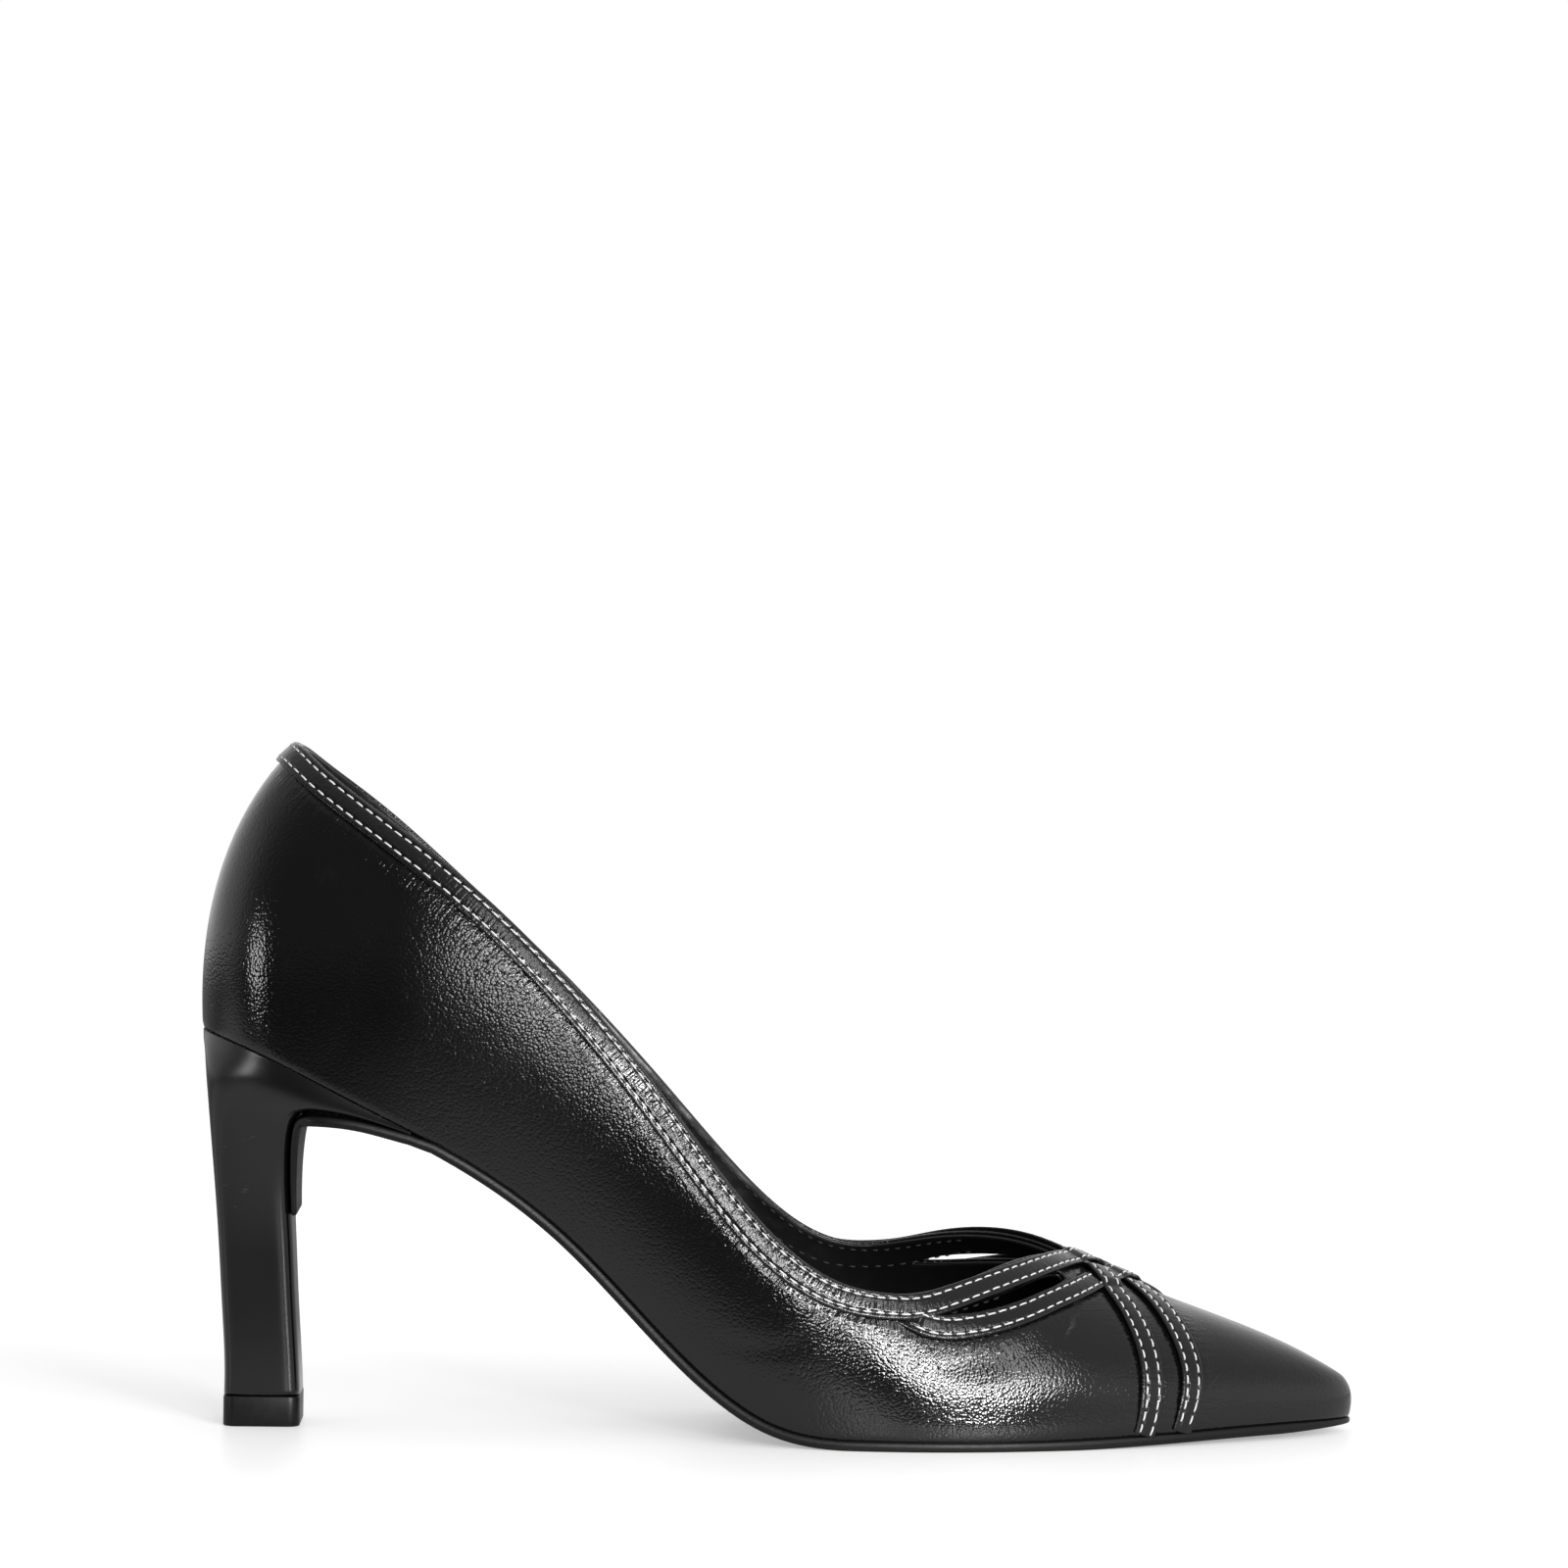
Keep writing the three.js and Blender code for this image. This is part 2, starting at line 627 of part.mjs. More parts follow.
// The outsole: a flap down the front of the heel, thinner toward its end, then the arch and the tread to
// the toe
function makeOutsole() {
  const stations = [];
  const thickness = [];
  const levels = Math.ceil((archRow - flapRow) * heelStepsPerRow);
  for (let i = 0; i <= levels; i++) {
    const level = flapRow + (archRow - flapRow) * i / levels;
    const front = heelFront(level);
    const row = rowAtFoot(front.x);
    const seated = THREE.MathUtils.clamp(heelShares.seated(level), 0, 1);
    const half = THREE.MathUtils.lerp(heelBaseWidth / 2, seatHalf, heelShares.wide(level));
    const outer = THREE.MathUtils.lerp(-half, last.footY(row, -1), seated);
    const inner = THREE.MathUtils.lerp(half, last.footY(row, 1), seated);
    stations.push([new THREE.Vector3(front.x, outer, front.z), new THREE.Vector3(front.x, inner, front.z)]);
    const full = Math.min((level - flapRow) / flapTaperRows, 1);
    thickness.push(THREE.MathUtils.lerp(flapThickness, soleThickness, full));
  }
  stations.push(...acrossSole(rowAtFoot(wedgeEnd) + 1 / stepsPerRow, soleMargin));
  const middle = stations.map(([outer, inner]) => outer.clone().add(inner).multiplyScalar(0.5));
  const offset = (distance) => (point, i) => {
    const along = middle[Math.min(i + 1, middle.length - 1)].clone().sub(middle[Math.max(i - 1, 0)]);
    const under = new THREE.Vector3(along.z, 0, -along.x).normalize();
    return point.addScaledVector(under, distance(i));
  };
  const toFloor = (move) => (point, i) => {
    const placed = move(point, i);
    return placed.setZ(Math.max(placed.z, 0));
  };
  const outside = offset((i) => gap + (thickness[i] ?? soleThickness));
  return plate(stations, toFloor(outside), offset(() => gap));
}

// The end piece of the heel, flat on the floor
function makeTopLift() {
  const half = heelBaseWidth / 2;
  const front = heelBaseBack + heelBaseLength;
  const outline = new THREE.Shape();
  outline.moveTo(heelBaseBack + liftCorner, -half);
  outline.lineTo(front - liftCorner, -half);
  outline.absarc(front - liftCorner, -half + liftCorner, liftCorner, -Math.PI / 2, 0);
  outline.absarc(front - liftCorner, half - liftCorner, liftCorner, 0, Math.PI / 2);
  outline.absarc(heelBaseBack + liftCorner, half - liftCorner, liftCorner, Math.PI / 2, Math.PI);
  outline.absarc(heelBaseBack + liftCorner, -half + liftCorner, liftCorner, Math.PI, 1.5 * Math.PI);
  const options = { depth: liftHeight, bevelEnabled: false, curveSegments: liftCornerSteps };
  return new THREE.ExtrudeGeometry(outline, options);
}

const leather = { color: 0x151517, roughness: 0.42, metalness: 0 };
const finishes = {
  upper: leather,
  straps: leather,
  insole: { color: 0x101011, roughness: 0.7, metalness: 0 },
  heel: leather,
  outsole: { color: 0x1b1817, roughness: 0.6, metalness: 0 },
  top_lift: { color: 0x0e0e0e, roughness: 0.65, metalness: 0 },
};

const shoe = new THREE.Group();
function place(name, geometry) {
  const piece = new THREE.Mesh(geometry, new THREE.MeshStandardMaterial(finishes[name]));
  piece.name = name;
  shoe.add(piece);
}

place('upper', makeUpper());
place('straps', makeStraps());
place('insole', makeInsole());
place('heel', makeHeel());
place('outsole', makeOutsole());
place('top_lift', makeTopLift());

// The origin is the middle of the shoe's box, on the floor
const box = new THREE.Box3().setFromObject(shoe);
const middle = box.getCenter(new THREE.Vector3());
shoe.position.set(-middle.x, -middle.y, -box.min.z);

const part = new THREE.Group();
part.add(shoe);
part.updateMatrixWorld(true);

export default part;
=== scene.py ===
import math
import bpy
import numpy as np
from mathutils import Matrix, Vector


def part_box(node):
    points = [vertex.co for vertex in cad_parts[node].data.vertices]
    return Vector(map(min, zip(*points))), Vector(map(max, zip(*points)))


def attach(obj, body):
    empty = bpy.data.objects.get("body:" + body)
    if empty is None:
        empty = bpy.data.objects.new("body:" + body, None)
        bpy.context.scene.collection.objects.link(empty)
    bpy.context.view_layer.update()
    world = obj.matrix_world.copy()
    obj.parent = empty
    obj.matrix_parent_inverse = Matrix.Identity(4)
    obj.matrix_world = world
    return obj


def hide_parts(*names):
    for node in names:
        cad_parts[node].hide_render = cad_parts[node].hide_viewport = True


# Right pump with crossed straps. Shapes are worked out in millimetres from the back of the heel, as the
# solids are, then moved into the frame and turned to metres by toFrame.
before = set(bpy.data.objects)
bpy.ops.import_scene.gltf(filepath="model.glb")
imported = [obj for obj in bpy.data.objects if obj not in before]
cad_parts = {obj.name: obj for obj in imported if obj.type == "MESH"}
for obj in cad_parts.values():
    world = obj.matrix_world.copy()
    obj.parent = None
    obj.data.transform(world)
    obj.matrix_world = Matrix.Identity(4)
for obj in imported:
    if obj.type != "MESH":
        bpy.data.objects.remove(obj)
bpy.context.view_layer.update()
liftLow, liftHigh = (np.array(corner) * 1000 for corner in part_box("top_lift"))
liftBack = 6.0
frameShift = np.array([liftLow[0] - liftBack, (liftLow[1] + liftHigh[1]) / 2, 0.0])


def toFrame(points):
    return (np.asarray(points) + frameShift) / 1000


# The last: one surface that the upper, the lining, the straps and the stitches all lie on
last = {
    "length": 240.0, "ball": 75.0, "seat": 82.0, "depth": 90.0, "spring": 1.3, "standing": 1.98,
    # foot, outer, inner, lift, spring, crest, lean, crown, fullOuter, fullInner, from the heel to the toe
    "rows": np.array([
        [0.002, 0, 0, 1, 0, 0.167, 0, 0.75, 0.05, 0.05],
        [0.023, 0.192, 0.192, 0.982, 0, 0.175, 0, 0.771, 0.1, 0.1],
        [0.075, 0.297, 0.304, 0.921, 0, 0.196, 0, 0.831, 0.12, 0.2],
        [0.15, 0.319, 0.32, 0.81, 0, 0.233, 0, 0.924, 0.23, 0.32],
        [0.233, 0.315, 0.28, 0.68, 0, 0.292, 0, 0.984, 0.415, 0.44],
        [0.321, 0.319, 0.251, 0.487, 0, 0.367, 0.007, 0.989, 0.418, 0.52],
        [0.408, 0.369, 0.28, 0.224, 0, 0.437, 0.013, 0.956, 0.255, 0.46],
        [0.492, 0.444, 0.381, 0.036, 0, 0.508, 0.021, 0.833, 0.165, 0.24],
        [0.575, 0.495, 0.461, 0.001, 0, 0.583, 0.033, 0.642, 0.067, 0.1],
        [0.658, 0.492, 0.485, 0, 0, 0.66, 0.045, 0.493, 0.01, 0.06],
        [0.742, 0.435, 0.448, 0, 0.05, 0.742, 0.053, 0.393, 0.05, 0.05],
        [0.825, 0.339, 0.357, 0, 0.5, 0.821, 0.059, 0.297, 0.07, 0.07],
        [0.9, 0.221, 0.252, 0, 0.95, 0.892, 0.061, 0.221, 0.1, 0.1],
        [0.9625, 0.093, 0.152, 0, 1, 0.954, 0.059, 0.151, 0.16, 0.16],
        [0.999, -0.051, 0.051, 0, 0.8, 0.985, 0.053, 0.106, 0.34, 0.34],
    ]),
    # share of the way from the crest down to the sole at which the collar cuts each side, rows 0 to 11;
    # the throat is where it comes down to none
    "toplineOuter": [0.333, 0.353, 0.424, 0.496, 0.551, 0.592, 0.624, 0.66, 0.655, 0.493, 0.099, -0.4],
    "toplineInner": [0.333, 0.355, 0.415, 0.494, 0.574, 0.609, 0.617, 0.637, 0.607, 0.373, 0.02, -0.42],
}
toeRow = len(last["rows"]) - 1
toplineEnd = len(last["toplineOuter"]) - 1
fitPasses = 40
small = 0.001


def weights(f):
    # the four weights of a uniform cubic B-spline at a share f of the way between two knots
    second = (3 * f ** 3 - 6 * f ** 2 + 4) / 6
    third = (-3 * f ** 3 + 3 * f ** 2 + 3 * f + 1) / 6
    return (1 - f) ** 3 / 6, second, third, f ** 3 / 6


def openCurve(values, mirrored=False):
    # smooth curve through evenly spaced values: the controls c are moved by values - (c[-1] + 4 c + c[+1])
    # / 6 until the curve meets them; past its ends it runs straight on, or back the same way where mirrored
    values = np.asarray(values, float)
    held = values.copy()

    def ended(c):
        return np.concatenate([[c[1] if mirrored else 2 * c[0] - c[1]], c, [2 * c[-1] - c[-2]], [c[-1]]])

    for _ in range(fitPasses):
        around = ended(held)
        held = held + values - (around[:-3] + 4 * held + around[2:-1]) / 6
    around = ended(held)

    def at(place):
        place = np.asarray(place, float)
        i = np.clip(np.floor(place).astype(int), 0, len(values) - 1)
        f = (place - i).reshape(place.shape + (1,) * (values.ndim - 1))
        return sum(w * around[i + k] for k, w in enumerate(weights(f)))

    return at


def lastControls():
    # controls of the closed curves that run down the outer side of the last and back along the inner side
    r = last["rows"]
    foot, outer, inner, lift, spring, crest, lean, crown, fullOuter, fullInner = r.T
    rise = last["standing"] + lift * (last["seat"] - last["standing"]) + spring * last["spring"]
    shared = [foot * last["length"], rise, crest * last["length"], lean * last["ball"], crown * last["depth"]]
    outerSide = np.stack(shared + [-outer * last["ball"], fullOuter], 1)
    innerSide = np.stack(shared + [inner * last["ball"], fullInner], 1)
    values = np.concatenate([outerSide, innerSide[-2:0:-1]])
    held = values.copy()
    for _ in range(fitPasses):
        held = held + values - (np.roll(held, 1, 0) + 4 * held + np.roll(held, -1, 0)) / 6
    return held


controls = lastControls()


def lastColumns(row, side):
    # foot x, foot z, crest x, crest y, crown, foot y and fullness at a row of one side
    place = np.where(side < 0, row, -row) % len(controls)
    i = np.floor(place).astype(int)
    f = (place - i)[..., None]
    held = sum(w * controls[(i + k - 1) % len(controls)] for k, w in enumerate(weights(f)))
    return np.moveaxis(held, -1, 0)


def lastPoint(row, across):
    # from the sole edge (across -1 or 1) to the crest (0) a quarter of an ellipse that swells by the side's
    # fullness: out = cos(turn) (1 + 2 full sin(turn) cos(turn)), up = crown sin(turn)
    row, across = np.broadcast_arrays(np.asarray(row, float), np.asarray(across, float))
    footX, footZ, crestX, crestY, crown, footY, full = lastColumns(row, across)
    turn = (1 - np.abs(across)) * math.pi / 2
    out = np.cos(turn) * (1 + 2 * full * np.sin(turn) * np.cos(turn))
    x = crestX + (footX - crestX) * out
    y = crestY + (footY - crestY) * out
    return np.stack([x, y, footZ + crown * np.sin(turn)], -1)


def unit(v):
    return v / np.maximum(np.linalg.norm(v, axis=-1, keepdims=True), 1e-12)


def slopes(row, across):
    along = (lastPoint(row + small, across) - lastPoint(row - small, across)) / (2 * small)
    over = (lastPoint(row, across + small) - lastPoint(row, across - small)) / (2 * small)
    return along, over


def lastNormal(row, across):
    along, over = slopes(row, across)
    return unit(np.cross(along, over))


def raised(row, across, height):
    # the point at a height above the last, along its normal
    return lastPoint(row, across) + lastNormal(row, across) * np.asarray(height, float)[..., None]


def moved(row, across, move):
    # the spot reached by a short move in the surface: the least squares answer of along dr + over da = move
    along, over = slopes(row, across)
    aa, ab, bb = (along * along).sum(-1), (along * over).sum(-1), (over * over).sum(-1)
    am, bm = (along * move).sum(-1), (over * move).sum(-1)
    scale = aa * bb - ab * ab
    return row + (am * bb - bm * ab) / scale, across + (bm * aa - am * ab) / scale


toplineCurves = {-1: openCurve(last["toplineOuter"], True), 1: openCurve(last["toplineInner"], True)}


def topline(row, side):
    row = np.abs(row)
    share = toplineCurves[side](np.minimum(row, toplineEnd))
    return np.where(row >= toplineEnd, 0, np.maximum(share, 0))


def smoothStep(share):
    share = np.clip(share, 0, 1)
    return share * share * (3 - 2 * share)


print("last ready")


# Materials

class Wire:
    # a socket in an expression: + - and * add Math nodes
    def __init__(self, finish, socket):
        self.finish, self.socket = finish, socket

    def math(self, operation, *values):
        return self.finish.node("ShaderNodeMath", {"operation": operation}, [self, *values])

    def __add__(self, other):
        return self.math("ADD", other)

    def __sub__(self, other):
        return self.math("SUBTRACT", other)

    def __rsub__(self, other):
        return self.finish.node("ShaderNodeMath", {"operation": "SUBTRACT"}, [other, self])

    def __mul__(self, other):
        return self.math("MULTIPLY", other)

    __radd__, __rmul__ = __add__, __mul__

    def between(self, low, high):
        # 0 at low, 1 at high, eased
        return self.finish.node("ShaderNodeMapRange", {"interpolation_type": "SMOOTHSTEP"},
                                {"Value": self, "From Min": low, "From Max": high})


class Finish:
    # a material or a world; node() makes every node, from its type, settings and sockets' values or links
    def __init__(self, name, world=False):
        self.material = (bpy.data.worlds if world else bpy.data.materials).new(name)
        self.material.use_nodes = True
        self.tree = self.material.node_tree
        self.tree.nodes.clear()

    def node(self, kind, settings=None, sockets=None, output=0):
        made = self.tree.nodes.new(kind)
        for name, value in (settings or {}).items():
            setattr(made, name, value)
        pairs = enumerate(sockets) if isinstance(sockets, list) else (sockets or {}).items()
        for key, value in pairs:
            if isinstance(value, Wire):
                self.tree.links.new(value.socket, made.inputs[key])
            else:
                made.inputs[key].default_value = value
        return Wire(self, made.outputs[output]) if made.outputs else made

    def place(self):
        # Object coordinates
        return self.node("ShaderNodeTexCoord", {}, {}, 3)

    def axis(self, place, number):
        return self.node("ShaderNodeSeparateXYZ", {}, [place], number)

    def stretched(self, place, scale):
        return self.node("ShaderNodeMapping", {}, {"Vector": place, "Scale": scale})

    def measure(self, name):
        # a number stored at the mesh's points
        return self.node("ShaderNodeAttribute", {"attribute_name": name}, {}, 2)

    def mixed(self, factor, first, second):
        # colours go through Mix: inputs 6 and 7 are its colour sockets, output 2 its colour
        return self.node("ShaderNodeMix", {"data_type": "RGBA"}, {0: factor, 6: first, 7: second}, 2)

    def noise(self, place, scale, detail=2.0, roughness=0.5, output=0):
        return self.node("ShaderNodeTexNoise", {}, {"Vector": place, "Scale": scale, "Detail": detail,
                                                   "Roughness": roughness}, output)

    def surface(self, color, roughness, specular, bumps=(), others=None):
        # bumps are (height, strength, distance), each laid over the one before
        values = {"Base Color": color, "Roughness": roughness, "Specular IOR Level": specular}
        values.update(others or {})
        for height, strength, distance in bumps:
            sockets = {"Height": height, "Strength": strength, "Distance": distance}
            if "Normal" in values:
                sockets["Normal"] = values["Normal"]
            values["Normal"] = self.node("ShaderNodeBump", {}, sockets)
        shader = self.node("ShaderNodeBsdfPrincipled", {}, values)
        self.node("ShaderNodeOutputMaterial", {}, {"Surface": shader})
        return self.material


def grey(value, warm=0.0):
    return (value * (1 + warm), value, value * (1 - warm), 1)


# lengths in metres
grain = {"pebble": 0.0006, "swell": 0.0007, "bend": 0.0016, "bent": 0.0004,
         "pebbleDepth": 0.000042, "swellDepth": 0.000008, "pore": 0.0004, "thread": 0.00016}
# beside the straps, in mm; drawn is where the quarter is drawn tight, along the shoe in metres: it starts, is
# full, begins to fade and ends
beside = {"dipEnd": 1.6, "wrinklesPerMm": 1.1, "wrinkleReach": 0.16, "wrinkleEnd": 7.0, "wrinkleStart": 0.5,
          "dipDepth": 0.00012, "wrinkleDepth": 0.00025, "drawnRough": 0.1, "drawnCoarse": 0.7,
          "drawn": [(place + frameShift[0]) / 1000 for place in (36.0, 50.0, 74.0, 100.0)]}


def pebbles(finish, place):
    # leather grain: domes of a cell pattern, 1 - distance^2, bent a little by noise, and a soft swell that
    # tilts each dome a little
    bend = finish.noise(place, 1 / grain["bend"], output=1)
    shifted = finish.node("ShaderNodeVectorMath", {"operation": "MULTIPLY_ADD"},
                          [bend, (grain["bent"],) * 3, place])
    cells = finish.node("ShaderNodeTexVoronoi", {"feature": "F1"},
                        {"Vector": shifted, "Scale": 1 / grain["pebble"]})
    return 1 - cells * cells, finish.noise(place, 1 / grain["swell"], 1.0)


def leatherFinish(name, tone, rough):
    # pebbled black leather. Beside the straps, by the upper's own distances in millimetres, it dips under
    # their edges and is gathered in short wrinkles that run out from the collar strap; where the quarter is
    # drawn, its grain is coarser and duller
    finish = Finish(name)
    place = finish.place()
    edge, along = finish.measure("edgeDistance"), finish.measure("collarAlong")
    cells, swell = pebbles(finish, place)
    hollow = edge.between(0.0, beside["dipEnd"])
    outward = finish.node("ShaderNodeCombineXYZ", {},
                          [along * beside["wrinklesPerMm"], edge * beside["wrinkleReach"]])
    wrinkles = finish.noise(outward, 1.0) * edge.between(beside["wrinkleEnd"], beside["wrinkleStart"])
    patches = finish.noise(place, 70.0).between(0.35, 0.65)
    worn = finish.noise(place, 160.0, 4.0, 0.65).between(0.6, 0.8)
    color = finish.mixed(worn * 0.4, grey(tone), grey(tone * 2.5, 0.03))
    start, held, fading, end = beside["drawn"]
    x = finish.axis(place, 0)
    drawn = x.between(start, held) * x.between(end, fading)
    cells = cells * (drawn * beside["drawnCoarse"] + 1.0)
    roughness = rough + drawn * beside["drawnRough"] + (patches - 0.5) * 0.04
    roughness = roughness + worn * 0.04 + (swell - 0.5) * 0.04
    return finish.surface(color, roughness, 0.5, [
        (hollow, 1.0, beside["dipDepth"]), (wrinkles, 1.0, beside["wrinkleDepth"]),
        (cells, 1.0, grain["pebbleDepth"]), (swell, 1.0, grain["swellDepth"])])


def strapFinish(name, tone, rough):
    # the straps' leather, gathered across by their folded edges: fine creases across the strap, read from
    # the strap's own map, whose first number runs across and whose second runs along, in centimetres
    finish = Finish(name)
    along = finish.node("ShaderNodeUVMap", {"uv_map": "strapMap"})
    cells, swell = pebbles(finish, finish.place())
    gathers = finish.noise(finish.stretched(along, (2.0, 14.0, 1.0)), 1.0)
    patches = finish.noise(finish.stretched(along, (0.6, 1.1, 1.0)), 1.0)
    creased = gathers * patches.between(0.25, 0.5)
    roughness = rough + (patches - 0.5) * 0.05 + (swell - 0.5) * 0.04
    return finish.surface(grey(tone), roughness, 0.5, [
        (creased, 1.0, 0.00012), (cells, 0.7, grain["pebbleDepth"]), (swell, 0.8, grain["swellDepth"])])


def liningFinish(name, tone, rough):
    finish = Finish(name)
    place = finish.place()
    pores = finish.noise(place, 1 / 0.00045, 3.0, 0.6)
    broad = finish.noise(place, 60.0, 3.0)
    color = finish.mixed(broad.between(0.35, 0.65), grey(tone * 0.8), grey(tone * 1.2))
    roughness = rough + (broad - 0.5) * 0.1
    return finish.surface(color, roughness, 0.45, [(broad, 0.6, 0.002), (pores, 0.5, 0.00005)])


def heelFinish(name, tone, rough):
    # smooth covered heel, duller at its top, with a few light rubs
    finish = Finish(name)
    place = finish.place()
    pores = finish.noise(place, 1 / grain["pore"], 3.0, 0.6)
    broad = finish.noise(place, 50.0, 3.0)
    dashes = finish.noise(finish.stretched(place, (260.0, 260.0, 900.0)), 1.0, 4.0, 0.6)
    rubs = dashes.between(0.62, 0.72) * finish.noise(place, 75.0, 1.0).between(0.56, 0.66)
    color = finish.mixed(broad.between(0.3, 0.7), grey(tone * 0.8), grey(tone * 1.2, 0.02))
    color = finish.mixed(rubs * 0.5, color, grey(0.05, 0.02))
    top = finish.axis(place, 2).between(0.05, 0.075)
    roughness = rough + (broad - 0.5) * 0.04 + rubs * 0.2 + top * 0.14
    return finish.surface(color, roughness, 0.5, [(pores, 0.3, 0.000015)])


def soleFinish(name, edgeTone, treadTone):
    # black dyed edge; the tread side, which faces down near the floor, is a worn warm black
    finish = Finish(name)
    place = finish.place()
    low = 1 - finish.axis(place, 2).between(0.0002, 0.0011)
    fibres = finish.noise(finish.stretched(place, (500.0, 500.0, 2500.0)), 1.0, 3.0, 0.6)
    rubs = finish.noise(place, 240.0, 4.0, 0.6).between(0.5, 0.8)
    color = finish.mixed(low * (0.5 + fibres * 0.5), grey(edgeTone), grey(treadTone, 0.18))
    color = finish.mixed(rubs * low * 0.4, color, grey(treadTone * 2, 0.15))
    return finish.surface(color, 0.4 + low * 0.3 + (fibres - 0.5) * 0.15, 0.3, [(fibres, 0.4, 0.0001)])


def rubberFinish(name, tone):
    finish = Finish(name)
    place = finish.place()
    specks = finish.noise(place, 1 / 0.0005, 3.0, 0.6)
    rubs = finish.noise(place, 300.0, 4.0, 0.6).between(0.5, 0.8)
    color = finish.mixed(rubs * 0.5, grey(tone), grey(tone * 2.2))
    return finish.surface(color, 0.36 + rubs * 0.15, 0.25, [(specks, 0.4, 0.00005)])


def threadFinish(name, tone, warm):
    # twisted sewing thread: fine slanting strands
    finish = Finish(name)
    strands = finish.noise(finish.place(), 1 / grain["thread"])
    color = finish.mixed(strands.between(0.3, 0.7), grey(tone * 0.72, warm), grey(tone, warm))
    return finish.surface(color, 0.65 + (strands - 0.5) * 0.2, 0.5, [(strands, 0.5, 0.00008)])


finishes = {
    "leather": leatherFinish("blackLeather", 0.0034, 0.1),
    "strap": strapFinish("strapLeather", 0.0034, 0.13),
    "lining": liningFinish("liningLeather", 0.0045, 0.3),
    "sock": liningFinish("sockLeather", 0.005, 0.55),
    "heel": heelFinish("heelLeather", 0.0026, 0.12),
    "sole": soleFinish("soleLeather", 0.0018, 0.008),
    "rubber": rubberFinish("liftRubber", 0.0032),
    "thread": threadFinish("whiteThread", 0.85, 0.01),
    "liningThread": threadFinish("greyThread", 0.03, 0.0),
}
print("materials ready")


# Meshes from arrays

def gridFaces(lines, steps, base=0, flip=False, wrap=False):
    # quads between the points of a grid, whose lines may close on themselves
    i, j = np.meshgrid(np.arange(lines - 1), np.arange(steps if wrap else steps - 1), indexing="ij")
    k = (j + 1) % steps
    quads = np.stack([i * steps + j, (i + 1) * steps + j, (i + 1) * steps + k, i * steps + k], -1)
    quads = quads.reshape(-1, 4)
    return base + (quads[:, ::-1] if flip else quads)


def fan(start, count, middle, flip=False):
    # triangles from a closed ring of points to its middle
    k = np.arange(count)
    pair = [start + k, start + (k + 1) % count]
    return np.stack((pair[::-1] if flip else pair) + [np.full(count, middle)], 1)


def welded(points, faces):
    # points that fall together become one, and faces keep only their distinct corners
    _, first, where = np.unique(np.round(points, 4), axis=0, return_index=True, return_inverse=True)
    where = where.reshape(-1)
    faces = where[faces]
    same = [faces[:, k] == faces[:, (k + 1) % 4] for k in range(4)]
    count = sum(s.astype(int) for s in same)
    quads = faces[count == 0]
    thin = faces[count == 1]
    drop = np.argmax(np.stack([s[count == 1] for s in same], 1), 1)
    keep = (drop[:, None] + 1 + np.arange(3)) % 4
    triangles = np.take_along_axis(thin, keep, 1)
    return points[first], quads, triangles, first


def makePiece(name, points, faces, finish, nodes, strapMap=None, distances=None):
    # faces is a list of arrays of quads or triangles; the piece is smooth shaded and rides on the only body.
    # strapMap is a map of its points, distances are named numbers at its points
    mesh = bpy.data.meshes.new(name)
    mesh.from_pydata(toFrame(points).tolist(), [], [f for block in faces for f in block.tolist()])
    mesh.polygons.foreach_set("use_smooth", np.ones(len(mesh.polygons), bool))
    if strapMap is not None:
        corners = np.empty(len(mesh.loops), int)
        mesh.loops.foreach_get("vertex_index", corners)
        layer = mesh.uv_layers.new(name="strapMap")
        layer.data.foreach_set("uv", strapMap[corners].ravel())
    for label, values in (distances or {}).items():
        mesh.attributes.new(label, "FLOAT", "POINT").data.foreach_set("value", values)
    mesh.materials.append(finish)
    mesh.update()
    piece = bpy.data.objects.new(name, mesh)
    bpy.context.scene.collection.objects.link(piece)
    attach(piece, "root")
    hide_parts(*nodes)


def shell(front, back, quads, triangles, bulge, rimSteps=4):
    # a closed wall between a front and a back sheet with the same faces. Along each open edge the rim is
    # half an ellipse: middle + n cos(t) thickness / 2 + o sin(t) bulge thickness / 2, t from 0 to pi, where n
    # runs from back to front and o points away from the sheet
    count = len(front)
    rings = [f[:, [k, (k + 1) % f.shape[1]]] for f in (quads, triangles) for k in range(f.shape[1])]
    edges = np.concatenate(rings)
    keys = edges[:, 0] * count + edges[:, 1]
    edges = edges[~np.isin(keys, edges[:, 1] * count + edges[:, 0])]
    tangent = np.zeros_like(front)
    run = unit(front[edges[:, 1]] - front[edges[:, 0]])
    np.add.at(tangent, edges[:, 0], run)
    np.add.at(tangent, edges[:, 1], run)
    rim = np.unique(edges)
    place = np.full(count, -1)
    place[rim] = np.arange(len(rim))
    span = front[rim] - back[rim]
    half = np.linalg.norm(span, axis=1, keepdims=True) / 2
    n = unit(span)
    o = unit(np.cross(tangent[rim], n))
    angles = np.pi * np.arange(1, rimSteps) / rimSteps
    middle = (front[rim] + back[rim]) / 2
    arcs = [middle + half * (n * math.cos(a) + o * bulge * math.sin(a)) for a in angles]
    points = np.concatenate([front, back] + arcs)
    rows = [np.arange(count)] + [2 * count + k * len(rim) + np.maximum(place, 0) for k in range(rimSteps - 1)]
    rows.append(np.arange(count) + count)
    a, b = edges.T
    sides = [np.stack([low[b], low[a], high[a], high[b]], 1) for low, high in zip(rows[:-1], rows[1:])]
    faces = [quads, triangles, quads[:, ::-1] + count, triangles[:, ::-1] + count] + sides
    return points, faces


# Straps and their stitches

